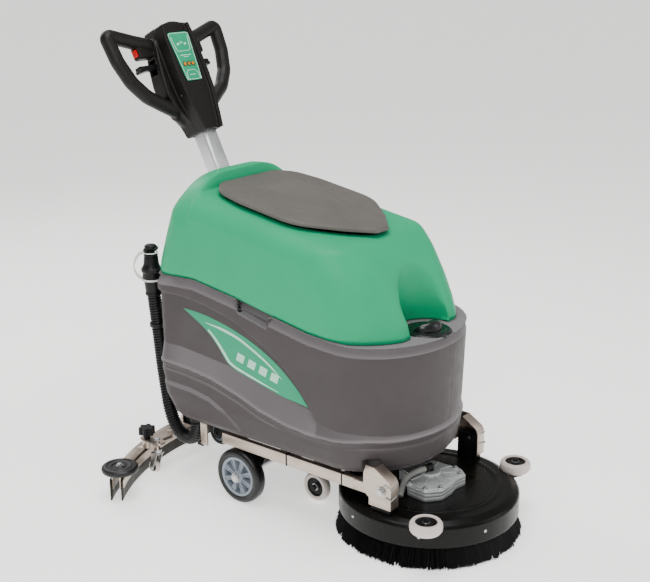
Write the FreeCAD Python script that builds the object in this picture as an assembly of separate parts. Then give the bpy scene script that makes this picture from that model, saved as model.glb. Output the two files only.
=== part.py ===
"""Walk-behind wet and dry floor scrubber with a disc brush, two tanks and a towed squeegee.

Units are millimetres, +X is the direction of travel, +Y the machine's left, +Z up.
Everything is laid out from the brush axis at x = 0 on the floor, and save() moves it
so that the origin lies on the floor under the middle of the whole machine.
"""
import FreeCAD, Part
import math
import os
from FreeCAD import Vector

# ---- driving dimensions ----
BRUSH_X = 341.6            # brush axis ahead of the middle of the machine
BRUSH_RADIUS = 238.0       # bristle tips on the floor
DECK_RADIUS = 229.0
DECK_TOP = 119.0
DECK_SKIRT = 55.0          # height of the deck's lower edge
DECK_SHEET = 4.0

WHEEL_RADIUS = 75.0
WHEEL_WIDTH = 36.0
WHEEL_X = -463.0
WHEEL_FACE_Y = 217.0       # outer face of each wheel
SMALL_RADIUS = 40.0        # support and bumper rollers
SMALL_X = -300.0
SMALL_FACE_Y = 92.0
SMALL_WIDTH = 26.0
SMALL_Z = 46.0
REAR_RADIUS = 37.5
REAR_X = -724.0
REAR_Z = 57.5
AXLE_RADIUS = 8.5
BOLT_RADIUS = 4.0
RUNNING = 0.05             # radial clearance of a running fit

RAIL_OUT = 208.0
RAIL_WIDTH = 16.0
RAIL_LOW = 154.0
RAIL_HIGH = 184.0
RAIL_REAR = -520.0
RAIL_FRONT = -45.0
RAIL_WALL = 2.0

BODY_HALF = 232.0
TANK_WALL = 5.0
PARTING_GAP = 1.0

HANGER_OUT = 213.0
HANGER_SHEET = 3.0
PIVOT_X = 4.0
PIVOT_Z = 175.0
PIVOT_RADIUS = 5.0

BUMPER_X = 131.0
BUMPER_Y = 208.0
BUMPER_LOW = 110.5
BUMPER_HEIGHT = 27.0

LEAN = 27.0                # handle's backward lean in degrees
HANDLE_X = -728.5          # a point on the leaning handle's centre line
HANDLE_Z = 892.5
COLUMN_X = -690.0          # centre line of the column's upright part
GRIP_RADIUS = 16.5
COLUMN_SIDE = 50.0
COLUMN_WALL = 2.5
CHANNEL_FRONT = -655.0     # rear channel in both tanks, for the column
CHANNEL_HALF = 34.0

BLADE_CENTRE_X = -163.0    # centre of the squeegee's curve
BLADE_RADIUS = 712.0
BLADE_HALF_ANGLE = 35.4
SQ_PIVOT_X = -644.0
SQ_PIVOT_Z = 112.0
ARM_Y = 150.0
KNOB_X = -806.0
KNOB_Y = 215.0
STUD_RADIUS = 5.0
DISC_X = -738.0
DISC_Y = 379.0
SQ_CASTER_X = -757.0
SQ_CASTER_Y = 222.0

LID_SLOPE = 0.17
LID_TIP_X = -148.0
LID_TIP_Z = 753.0
LID_DEEP = 14.0
LID_PIN_X = -592.0
LID_PIN_Z = 826.0
PIN_RADIUS = 3.0

X_AXIS = Vector(1, 0, 0)
Y_AXIS = Vector(0, 1, 0)
Z_AXIS = Vector(0, 0, 1)
ORIGIN = Vector(0, 0, 0)

# height of the joint between the two tanks, from the rear to the front
PARTING = [(-800, 592), (-714, 592), (-594, 597), (-443, 574), (-322, 550), (-212, 530), (-122, 524), (-100, 522),
           (60, 522)]


# ---- helpers ----
def save(name, *shapes):
    """Write one node, moved to the part's own frame."""
    solids = [solid for shape in shapes for solid in shape.Solids]
    whole = solids[0] if len(solids) == 1 else Part.makeCompound(solids)
    whole = whole.copy()
    whole.translate(Vector(BRUSH_X, 0, 0))
    whole.exportStep("parts/" + name + ".step")
    box_now = whole.BoundBox
    EXTENTS.append((box_now.XMin, box_now.XMax, box_now.YMin, box_now.YMax, box_now.ZMin, box_now.ZMax))


EXTENTS = []


def box(x0, x1, y0, y1, z0, z1):
    """A block between two corners."""
    return Part.makeBox(x1 - x0, y1 - y0, z1 - z0, Vector(x0, y0, z0))


def rod(x, y, z, radius, length, axis=Z_AXIS):
    """A cylinder that starts at a point."""
    return Part.makeCylinder(radius, length, Vector(x, y, z), axis)


def ring(x, y, z, outer, inner, length, axis=Z_AXIS):
    """A plain ring that starts at a point."""
    return rod(x, y, z, outer, length, axis).cut(rod(x, y, z, inner, length, axis))


def mirrored(shape):
    """The same piece on the machine's other side."""
    return shape.mirror(ORIGIN, Y_AXIS)


def turned(shape, angle, centre=ORIGIN, axis=Z_AXIS):
    """A copy turned about an axis."""
    copy = shape.copy()
    copy.rotate(centre, axis, angle)
    return copy


def revolved(profile, x=0.0, y=0.0, z=0.0, axis=Z_AXIS):
    """A ring-shaped solid from (radius, height) points, on an axis through a point."""
    points = [Vector(radius, 0, height) for radius, height in profile]
    face = Part.Face(Part.makePolygon(points + points[:1]))
    solid = face.revolve(ORIGIN, Z_AXIS, 360)
    solid.Placement = FreeCAD.Placement(Vector(x, y, z), FreeCAD.Rotation(Z_AXIS, axis))
    return solid


def rounded_wire(points, radii, closed=True):
    """Straight runs with a tangent arc of the given radius at each corner."""
    count = len(points)
    edges = []
    first = None
    last = None
    for index, corner in enumerate(points):
        if radii[index] == 0 or (not closed and index in (0, count - 1)):
            start = corner
            end = corner
        else:
            back = (points[index - 1] - corner).normalize()
            ahead = (points[(index + 1) % count] - corner).normalize()
            half = back.getAngle(ahead) / 2
            reach = radii[index] / math.tan(half)
            start = corner + back * reach
            end = corner + ahead * reach
            middle_line = (back + ahead).normalize()
            middle = corner + middle_line * (radii[index] / math.sin(half) - radii[index])
        if last is not None and (start - last).Length > 1e-6:
            edges.append(Part.LineSegment(last, start).toShape())
        if (end - start).Length > 1e-6:
            edges.append(Part.Arc(start, middle, end).toShape())
        if first is None:
            first = start
        last = end
    if closed and (first - last).Length > 1e-6:
        edges.append(Part.LineSegment(last, first).toShape())
    return Part.Wire(edges)


def side_plate(profile, y0, y1, radius=0.0):
    """A plate with an outline in the x, z plane between two values of y."""
    points = [Vector(x, y0, z) for x, z in profile]
    return Part.Face(rounded_wire(points, [radius] * len(points))).extrude(Vector(0, y1 - y0, 0))


def flat_plate(profile, z0, z1, radius=0.0):
    """A plate with an outline in the x, y plane between two heights."""
    points = [Vector(x, y, z0) for x, y in profile]
    return Part.Face(rounded_wire(points, [radius] * len(points))).extrude(Vector(0, 0, z1 - z0))


def hose(route, radius, wall, name):
    """A hose along straight runs joined by arcs as large as the runs allow."""
    radii = [0.0]
    for before, corner, after in zip(route, route[1:], route[2:]):
        shorter = min((corner - before).Length, (after - corner).Length)
        turn = (corner - before).getAngle(after - corner)
        radii.append(0.45 * shorter / math.tan(turn / 2))
    radii.append(0.0)
    path = rounded_wire(route, radii, closed=False)
    direction = route[1] - route[0]
    outer = Part.Wire(Part.makeCircle(radius, route[0], direction))
    solid = path.makePipeShell([outer], True, False)
    if wall:
        inner = Part.Wire(Part.makeCircle(radius - wall, route[0], direction))
        solid = solid.cut(path.makePipeShell([inner], True, False))
    section = math.pi * (radius ** 2 - (radius - wall if wall else 0) ** 2)
    print(name, "length", round(path.Length), "radii", [round(r) for r in radii[1:-1]],
          "volume ratio", round(solid.Volume / (section * path.Length), 3))
    return solid


def in_handle(shape):
    """Move a piece from the handle's own frame (x forward, z up along it) to its place."""
    copy = shape.copy()
    copy.rotate(ORIGIN, Y_AXIS, -LEAN)
    copy.translate(Vector(HANDLE_X, 0, HANDLE_Z))
    return copy


# ---- tanks ----
def plan_wire(z, rear, front, half, rear_radius, nose):
    """A level section of a tank: rounded rear corners and a half-elliptical nose."""

    def at(x, y):
        return Vector(x, y, z)

    side_rear = rear + rear_radius
    side_front = front - nose
    rear_y = half - rear_radius
    slant = math.sqrt(0.5)
    bends = [at(side_rear - rear_radius * slant, sign * (rear_y + rear_radius * slant)) for sign in (-1, 1)]
    if nose > half:
        whole_nose = Part.Ellipse(at(front, 0), at(side_front, half), at(side_front, 0))
        nose_arc = Part.Arc(whole_nose, -math.pi / 2, math.pi / 2)
    else:
        whole_nose = Part.Ellipse(at(side_front, half), at(side_front - nose, 0), at(side_front, 0))
        nose_arc = Part.Arc(whole_nose, math.pi, 2 * math.pi)
    edges = [
        Part.LineSegment(at(rear, rear_y), at(rear, -rear_y)).toShape(),
        Part.Arc(at(rear, -rear_y), bends[0], at(side_rear, -half)).toShape(),
        Part.LineSegment(at(side_rear, -half), at(side_front, -half)).toShape(),
        nose_arc.toShape(),
        Part.LineSegment(at(side_front, half), at(side_rear, half)).toShape(),
        Part.Arc(at(side_rear, half), bends[1], at(rear, rear_y)).toShape(),
    ]
    return Part.Wire(edges)


# height, rear x, front x, half width, length of the nose, radius of the rear corners
LOWER_STATIONS = [
    (196, -680, 24, 214, 170, 45), (214, -693, 33, 225, 178, 45), (262, -718, 43, BODY_HALF, 186, 45),
    (330, -738, 48, BODY_HALF, 190, 45), (480, -743, 54, BODY_HALF, 190, 45), (620, -744, 57, BODY_HALF - 2, 190, 45),
]
UPPER_STATIONS = [
    (500, -744, 31, 224, 182, 45), (575, -744, 4, 224, 176, 48), (625, -741, -20, 224, 170, 60),
    (690, -733, -57, 222, 165, 80), (741, -727, -99, 220, 160, 100), (880, -690, -190, 212, 150, 120),
]
# the upper tank's top from the rear to the front: x, height, radius of the shoulders
CREST = [
    (-800, 560, 150), (-758, 690, 150), (-744, 735, 160), (-730, 771, 165), (-712, 801, 168), (-695, 823, 170),
    (-670, 847, 170), (-645, 857, 170), (-614, 857, 160), (-606, 815, 80), (-150, 737, 62), (-125, 722, 70),
    (-100, 703, 80), (-70, 668, 88), (-50, 632, 92), (-30, 594, 94), (-12, 552, 94), (5, 500, 94), (30, 430, 94),
]
CREST_REAR = -640.0           # the crest falls backwards behind this x
CREST_STEP = -600.0           # foot of the step in front of the hump
CREST_NOSE = -130.0           # the crest falls forwards ahead of this x
SHOULDER_FOOT = 300.0


def tank_body(stations, inset):
    """The outer body of a tank, or its inside when inset by the wall."""
    wires = []
    for z, rear, front, half, nose, corner in stations:
        wires.append(plan_wire(z, rear + inset, front - inset, half - inset, corner - inset, nose - inset))
    return Part.makeLoft(wires, True, True)


def below_line(line, low, drop):
    """All that lies below a line drawn along the machine."""
    profile = [(x, z - drop) for x, z in line]
    return side_plate([(line[0][0], low)] + profile + [(line[-1][0], low)], -300, 300)


def above_line(line, high, rise):
    """All that lies above a line drawn along the machine."""
    profile = [(x, z + rise) for x, z in line]
    return side_plate([(line[0][0], high)] + profile + [(line[-1][0], high)], -300, 300)


def crest_body(inset):
    """A long body with round shoulders that follows the upper tank's top."""
    wires = []
    half = 224.0 - inset
    for crest_x, z, shoulder in CREST:
        x = crest_x
        if crest_x < CREST_REAR:
            x = crest_x + inset
        if CREST_REAR < crest_x < CREST_STEP or crest_x > CREST_NOSE:
            x = crest_x - inset
        radius = shoulder - inset
        slant = radius * (1 - math.sqrt(0.5))
        top = z - inset
        wires.append(Part.Wire([
            Part.LineSegment(Vector(x, -half, SHOULDER_FOOT), Vector(x, -half, top - radius)).toShape(),
            Part.Arc(Vector(x, -half, top - radius), Vector(x, -half + slant, top - slant),
                     Vector(x, -half + radius, top)).toShape(),
            Part.LineSegment(Vector(x, -half + radius, top), Vector(x, half - radius, top)).toShape(),
            Part.Arc(Vector(x, half - radius, top), Vector(x, half - slant, top - slant),
                     Vector(x, half, top - radius)).toShape(),
            Part.LineSegment(Vector(x, half, top - radius), Vector(x, half, SHOULDER_FOOT)).toShape(),
            Part.LineSegment(Vector(x, half, SHOULDER_FOOT), Vector(x, -half, SHOULDER_FOOT)).toShape(),
        ]))
    return Part.makeLoft(wires, True, True)


FILL_X = -14.0
FILL_NECK = 52.0
FILL_SEAT = 65.0                          # radius of the shallow seat under the cap
FILL_SEAT_Z = 515.0
SCOOP_RADIUS = 84.0                       # hollow in the upper tank, round the filler
SCOOP_LEAN = 5.0                          # its lean in degrees
BAY = (-560.0, -212.0, 172.0, 330.0)      # battery bay: rear x, front x, half width, floor height
MOTOR_WELL = (-628.0, 118.0, 62.0)        # vacuum motor: x, y, radius of its well
HANGER_NOTCH_TOP = 236.0
NOTCH = (-445.0, -330.0)                  # finger recess under the upper tank's edge
NOTCH_DEEP = 34.0


def make_solution_tank():
    """Lower tank: clean water, with a battery bay open to the top and a filler at the nose."""
    outer = tank_body(LOWER_STATIONS, 0).common(below_line(PARTING, 150, 0))
    water = tank_body(LOWER_STATIONS, TANK_WALL)
    water = water.common(box(-800, 100, -300, 300, 196 + TANK_WALL, 700))
    water = water.common(below_line(PARTING, 150, TANK_WALL))
    rear, front, half, floor = BAY
    bay = box(rear, front, -half, half, floor, 700)
    bay_shell = box(rear - TANK_WALL, front + TANK_WALL, -half - TANK_WALL, half + TANK_WALL, floor - TANK_WALL, 700)
    x, y, radius = MOTOR_WELL
    well = rod(x, y, 400, radius, 300)
    well_shell = rod(x, y, 400 - TANK_WALL, radius + TANK_WALL, 300)
    channel = box(-800, CHANNEL_FRONT, -CHANNEL_HALF, CHANNEL_HALF, 100, 700)
    channel_shell = box(-800, CHANNEL_FRONT + TANK_WALL, -CHANNEL_HALF - TANK_WALL, CHANNEL_HALF + TANK_WALL, 100, 700)
    water = water.cut(bay_shell).cut(well_shell).cut(channel_shell)
    tank = outer.cut(channel).cut(water).cut(bay).cut(well)
    tank = tank.fuse(rod(FILL_X, 0, FILL_SEAT_Z - TANK_WALL, FILL_SEAT + TANK_WALL, 20).common(outer))
    tank = tank.cut(rod(FILL_X, 0, FILL_SEAT_Z, FILL_SEAT, 100)).cut(rod(FILL_X, 0, 480, FILL_NECK, 100))
    for side in (-1, 1):
        low_y = min(side * 168, side * 250)
        tank = tank.fuse(box(-66, 60, low_y, low_y + 82, 190, HANGER_NOTCH_TOP + TANK_WALL).common(outer))
        tank = tank.cut(box(-61, 60, low_y + side * 5, low_y + side * 5 + 82, 190, HANGER_NOTCH_TOP))
        recess = []
        for x_end in NOTCH:
            recess.append((x_end, line_height(PARTING, x_end) + 5))
        recess.append((NOTCH[1] - 10, line_height(PARTING, NOTCH[1]) - NOTCH_DEEP))
        recess.append((NOTCH[0] + 10, line_height(PARTING, NOTCH[0]) - NOTCH_DEEP))
        inner = side * (BODY_HALF - 20)
        outer_y = side * (BODY_HALF + 20)
        pocket = side_plate(recess, min(inner, outer_y), max(inner, outer_y))
        lining = pocket.copy()
        lining.translate(Vector(0, -side * TANK_WALL, -TANK_WALL))
        tank = tank.fuse(lining.common(outer)).cut(pocket)
    return tank


def line_height(line, x):
    """Height of a line along the machine at one x."""
    for (x0, z0), (x1, z1) in zip(line, line[1:]):
        if x0 <= x <= x1:
            return z0 + (z1 - z0) * (x - x0) / (x1 - x0)
    return line[-1][1]


def inward(points, distance):
    """A closed outline with every side moved inward by one distance."""
    moved = []
    for index, corner in enumerate(points):
        back = (corner - points[index - 1]).normalize()
        ahead = (points[(index + 1) % len(points)] - corner).normalize()
        normal_back = Vector(-back.y, back.x, 0)
        normal_ahead = Vector(-ahead.y, ahead.x, 0)
        bisector = (normal_back + normal_ahead).normalize()
        moved.append(corner + bisector * (distance / bisector.dot(normal_back)))
    return moved


# right half of the lid's plan, from the rear to the tip, and the radius of each bend
LID_HALF = [(-599, 105), (-562, 152), (-480, 168), (-300, 168), (-205, 88), (-150, 25)]
LID_BENDS = [52, 70, 200, 120, 200, 24]


def lid_outline(inset):
    """Spoon-shaped plan of the lid, broad at the rear and narrow at the front tip."""
    points = [Vector(x, -y, 0) for x, y in LID_HALF]
    points += [Vector(x, y, 0) for x, y in reversed(LID_HALF)]
    radii = [max(radius - inset, 3) for radius in LID_BENDS]
    return rounded_wire(inward(points, inset), radii + radii[::-1])


def lid_column(inset):
    """The lid's plan drawn up through all heights."""
    return Part.Face(lid_outline(inset)).extrude(Vector(0, 0, 1000))


def lid_slab(low, high):
    """A sloping slab between two distances below the lid's top plane."""
    rear = -900.0
    front = 100.0
    top_rear = LID_TIP_Z + (LID_TIP_X - rear) * LID_SLOPE
    top_front = LID_TIP_Z + (LID_TIP_X - front) * LID_SLOPE
    return side_plate([(rear, top_rear - low), (front, top_front - low),
                       (front, top_front - high), (rear, top_rear - high)], -300, 300)


def make_recovery_tank():
    """Upper tank: dirty water, with the lid's opening on top and a scoop round the filler."""
    outer = tank_body(UPPER_STATIONS, 0).common(crest_body(0))
    outer = outer.common(above_line(PARTING, 950, PARTING_GAP))
    inside = tank_body(UPPER_STATIONS, TANK_WALL).common(crest_body(TANK_WALL))
    inside = inside.common(above_line(PARTING, 950, PARTING_GAP + TANK_WALL))
    lean = Vector(math.sin(math.radians(SCOOP_LEAN)), 0, 1)
    scoop = rod(FILL_X, 0, 480, SCOOP_RADIUS, 290, lean)
    scoop_shell = rod(FILL_X, 0, 480, SCOOP_RADIUS + TANK_WALL, 300, lean)
    channel = box(-800, CHANNEL_FRONT, -CHANNEL_HALF, CHANNEL_HALF, 400, 900)
    channel_shell = box(-800, CHANNEL_FRONT + TANK_WALL, -CHANNEL_HALF - TANK_WALL, CHANNEL_HALF + TANK_WALL, 400, 900)
    inside = inside.cut(scoop_shell).cut(channel_shell)
    mouth = lid_column(34).common(box(-800, 100, -300, 300, 690, 900))
    return outer.cut(scoop).cut(channel).cut(inside).cut(mouth)


def make_lid():
    """Lid: a shallow tray turned down, with knuckles round the hinge pin."""
    plate = lid_column(0).common(lid_slab(0, LID_DEEP))
    crown = lid_column(14).common(lid_slab(-5, 3))
    hollow = lid_column(7).common(lid_slab(6, LID_DEEP + 5))
    lid = plate.fuse(crown).cut(hollow)
    lid = lid.cut(box(-610, LID_PIN_X + 10, -92, 92, 700, 900))
    for y in (-70, -15, 40):
        knuckle = rod(LID_PIN_X, y, LID_PIN_Z, 7, 30, Y_AXIS)
        tab = box(LID_PIN_X, LID_PIN_X + 16, y, y + 30, LID_PIN_Z - 6.5, LID_PIN_Z - 1)
        lid = lid.fuse(knuckle).fuse(tab)
    return lid.cut(rod(LID_PIN_X, -90, LID_PIN_Z, PIN_RADIUS + RUNNING, 180, Y_AXIS)).removeSplitter()


def build_tanks():
    save("solution_tank", make_solution_tank())
    save("recovery_tank", make_recovery_tank())
    save("tank_lid", make_lid())
    seal = lid_column(24).common(lid_slab(6, LID_DEEP - 1)).cut(lid_column(29))
    save("lid_seal", seal)
    pin = rod(LID_PIN_X, -86, LID_PIN_Z, PIN_RADIUS, 172, Y_AXIS)
    crest_line = [(x, z) for x, z, shoulder in CREST]
    block = box(LID_PIN_X - 7, LID_PIN_X + 7, 78, 86, 800, LID_PIN_Z + 6).common(above_line(crest_line, 950, 0))
    save("lid_hinge_pin", pin.fuse(block).fuse(mirrored(block)))
    save("fill_cap", make_fill_cap())
    rear, front, half, floor = BAY
    length = (front - rear - 12) / 2
    batteries = []
    for start in (rear + 4, rear + 8 + length):
        case = box(start, start + length, -half + 5, half - 5, floor + 1, floor + 170)
        posts = [rod(start + length / 2, y, floor + 170, 8, 12) for y in (-110, 110)]
        batteries.append(case.fuse(posts[0]).fuse(posts[1]))
    save("batteries", *batteries)
    x, y, radius = MOTOR_WELL
    motor = revolved([(0, 0), (radius - 8, 0), (radius - 8, 70), (radius - 20, 78), (radius - 20, 120), (0, 120)],
                     x, y, 401)
    save("vacuum_motor", motor)
    decal = side_plate([(-690, 470), (-560, 470), (-415, 405), (-300, 320), (-265, 290), (-330, 318), (-490, 385),
                        (-600, 425)], -BODY_HALF - 0.6, -BODY_HALF, 4)
    save("side_decals", decal, mirrored(decal))


def make_fill_cap():
    """Round filler cap with a raised finger grip across it."""
    cap = revolved([(52.5, 0), (61, 0), (62, 4), (58, 9), (50, 11), (0, 11), (0, 6), (52.5, 6)], FILL_X, 0,
                   FILL_SEAT_Z + 0.5)
    top = FILL_SEAT_Z + 11
    grip = side_plate([(FILL_X - 46, top), (FILL_X + 46, top), (FILL_X + 28, top + 13), (FILL_X - 28, top + 13)],
                      -9, 9, 3)
    return cap.fuse(grip)


# ---- frame and wheels ----
def build_frame():
    tube = box(RAIL_REAR, RAIL_FRONT, -RAIL_OUT, -RAIL_OUT + RAIL_WIDTH, RAIL_LOW, RAIL_HIGH)
    bore = box(RAIL_REAR - 1, RAIL_FRONT + 1, -RAIL_OUT + RAIL_WALL, -RAIL_OUT + RAIL_WIDTH - RAIL_WALL,
               RAIL_LOW + RAIL_WALL, RAIL_HIGH - RAIL_WALL)
    rail = tube.cut(bore)
    save("rail_right", rail)
    save("rail_left", mirrored(rail))
    inner = RAIL_OUT - RAIL_WIDTH
    cross = [box(x, x + 30, -inner, inner, RAIL_LOW, RAIL_HIGH) for x in (-515, -330, -200)]
    spine = [box(-700, -170, y, y + 25, RAIL_LOW, RAIL_HIGH) for y in (-107, 82)]
    frame = cross[0].multiFuse(cross[1:] + spine)
    rear_bar = box(-700, -665, -175, 175, RAIL_LOW, RAIL_HIGH)
    posts = []
    for y in (-168, 160):
        plate = box(SQ_PIVOT_X - 10, SQ_PIVOT_X + 10, y, y + 8, 98, RAIL_LOW)
        foot = box(-700, SQ_PIVOT_X + 10, y, y + 8, RAIL_LOW, RAIL_HIGH)
        posts.append(plate.fuse(foot))
    frame = frame.fuse(rear_bar).multiFuse(posts)
    for y in (-169, 146):
        frame = frame.fuse(rod(SQ_PIVOT_X, y, SQ_PIVOT_Z, PIVOT_RADIUS, 23, Y_AXIS))
    frame = frame.fuse(make_rear_fork())
    saddle = box(-716, -664, -60, 60, RAIL_HIGH, 192)
    save("chassis_frame", frame.fuse(saddle).removeSplitter())
    save("wheel_brackets", *make_wheel_brackets())
    nut = rod(WHEEL_X, WHEEL_FACE_Y + 0.5, WHEEL_RADIUS, 12, 8, Y_AXIS)
    axle = rod(WHEEL_X, -WHEEL_FACE_Y - 4, WHEEL_RADIUS, AXLE_RADIUS, 2 * WHEEL_FACE_Y + 8, Y_AXIS)
    save("wheel_axle", axle.fuse(nut).fuse(mirrored(nut)))
    build_hangers()


def make_rear_fork():
    """Fixed fork of the small rear wheel, below the rear bar."""
    top = box(REAR_X + 8, -665, -20, 20, REAR_Z + REAR_RADIUS + 8, REAR_Z + REAR_RADIUS + 12)
    stem = box(-700, -672, -20, 20, REAR_Z + REAR_RADIUS + 8, RAIL_LOW)
    fork = top.fuse(stem)
    for y in (-20, 16):
        cheek = side_plate([(REAR_X - 12, REAR_Z - 12), (REAR_X + 12, REAR_Z - 12), (-668, REAR_Z + REAR_RADIUS + 12),
                            (REAR_X + 8, REAR_Z + REAR_RADIUS + 12), (REAR_X - 12, REAR_Z + 12)], y, y + 4)
        fork = fork.fuse(cheek)
    return fork.fuse(rod(REAR_X, -22, REAR_Z, BOLT_RADIUS, 44, Y_AXIS))


def make_wheel_brackets():
    """Gusset plates that carry the main axle, and forks of the support rollers."""
    pieces = []
    gusset = side_plate([(-505, RAIL_LOW), (-385, RAIL_LOW), (-440, 55), (-486, 55)], -176, -170, 6)
    gusset = gusset.cut(rod(WHEEL_X, -180, WHEEL_RADIUS, AXLE_RADIUS + RUNNING, 20, Y_AXIS))
    pieces += [gusset, mirrored(gusset)]
    inner_face = SMALL_FACE_Y - SMALL_WIDTH
    plate = side_plate([(SMALL_X - 30, RAIL_LOW), (SMALL_X + 30, RAIL_LOW), (SMALL_X + 14, SMALL_Z - 14),
                        (SMALL_X - 14, SMALL_Z - 14)], -inner_face + 1, -inner_face + 6, 6)
    bolt = rod(SMALL_X, -SMALL_FACE_Y - 3, SMALL_Z, BOLT_RADIUS, SMALL_WIDTH + 10, Y_AXIS)
    head = rod(SMALL_X, -SMALL_FACE_Y - 7, SMALL_Z, 8, 6, Y_AXIS)
    shelf = box(SMALL_X - 30, SMALL_X + 30, -107, -inner_face + 6, RAIL_LOW - 5, RAIL_LOW)
    support = plate.fuse(bolt).fuse(head).fuse(shelf)
    return pieces + [support, mirrored(support)]


def build_hangers():
    outline = [(-49, 162), (-49, 209), (-42, 232), (-16, 232), (26, 206), (32, 194), (32, 131), (-32, 131), (-32, 150)]
    side = side_plate(outline, -HANGER_OUT, -HANGER_OUT + HANGER_SHEET)
    inner = -HANGER_OUT + 33
    flange = box(32 - HANGER_SHEET, 32, -HANGER_OUT, inner, 131, 194)
    slope = side_plate([(32, 194), (26, 206), (-16, 232), (-16, 228), (24, 203), (29, 193)], -HANGER_OUT, inner)
    tongue = box(-80, RAIL_FRONT + 2, -HANGER_OUT, -RAIL_OUT, RAIL_LOW + 4, RAIL_HIGH)
    hanger = side.fuse(flange).fuse(slope).fuse(tongue)
    bore = rod(PIVOT_X, -220, PIVOT_Z, PIVOT_RADIUS, 20, Y_AXIS)
    hanger = hanger.cut(bore)
    save("deck_hanger_right", hanger)
    save("deck_hanger_left", mirrored(hanger))
    bolt = rod(PIVOT_X, -HANGER_OUT - 6, PIVOT_Z, PIVOT_RADIUS, 36, Y_AXIS)
    bolt = bolt.fuse(rod(PIVOT_X, -HANGER_OUT - 7, PIVOT_Z, 9, 7, Y_AXIS))
    save("pivot_bolts", bolt, mirrored(bolt))


def small_wheel(radius, width, bore, x, y, z, axis):
    """A tyre and hub in one: round shoulders, a recessed web and a plain bore."""
    web = width * 0.28
    profile = [(bore, 0.5), (bore + 9, 0.5), (bore + 9, web), (radius * 0.68, web), (radius * 0.7, 1),
               (radius - 7, 0), (radius - 1.5, 5), (radius, width / 2), (radius - 1.5, width - 5),
               (radius - 7, width), (radius * 0.7, width - 1), (radius * 0.68, width - web),
               (bore + 9, width - web), (bore + 9, width - 0.5), (bore, width - 0.5)]
    return revolved(profile, x, y, z, axis)


def build_wheels():
    half = WHEEL_WIDTH / 2
    rim_radius = 55.0
    tyre_profile = [(rim_radius, 1), (69, 0), (73, 4), (WHEEL_RADIUS, 10), (WHEEL_RADIUS, 26), (73, 32), (69, 36),
                    (rim_radius, 35)]
    rim = ring(0, 0, 1, rim_radius, rim_radius - 7, WHEEL_WIDTH - 2).fuse(ring(0, 0, 0, 20, AXLE_RADIUS + RUNNING, WHEEL_WIDTH))
    rim = rim.fuse(ring(0, 0, half - 4, rim_radius - 6, 19, 8))
    spokes = []
    for index in range(8):
        spoke = box(18, rim_radius - 5, -5, 5, 3, WHEEL_WIDTH - 3)
        spokes.append(turned(spoke, index * 45))
    rim = rim.multiFuse(spokes)
    for side, name in ((-1, "right"), (1, "left")):
        start = -WHEEL_FACE_Y if side < 0 else WHEEL_FACE_Y - WHEEL_WIDTH
        place = FreeCAD.Placement(Vector(WHEEL_X, start, WHEEL_RADIUS), FreeCAD.Rotation(Z_AXIS, Y_AXIS))
        rim_here = rim.copy()
        rim_here.Placement = place
        save("rim_" + name, rim_here)
        save("tyre_" + name, revolved(tyre_profile, WHEEL_X, start, WHEEL_RADIUS, Y_AXIS))
        start = -SMALL_FACE_Y if side < 0 else SMALL_FACE_Y - SMALL_WIDTH
        roller = small_wheel(SMALL_RADIUS, SMALL_WIDTH, BOLT_RADIUS + RUNNING, SMALL_X, start, SMALL_Z, Y_AXIS)
        save("support_roller_" + name, roller)
        bumper = small_wheel(SMALL_RADIUS, BUMPER_HEIGHT, BOLT_RADIUS + RUNNING, BUMPER_X, side * BUMPER_Y,
                             BUMPER_LOW, Z_AXIS)
        save("bumper_roller_" + name, bumper)
    rear = small_wheel(REAR_RADIUS, 26, BOLT_RADIUS + RUNNING, REAR_X, -13, REAR_Z, Y_AXIS)
    save("rear_wheel", rear)


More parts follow.
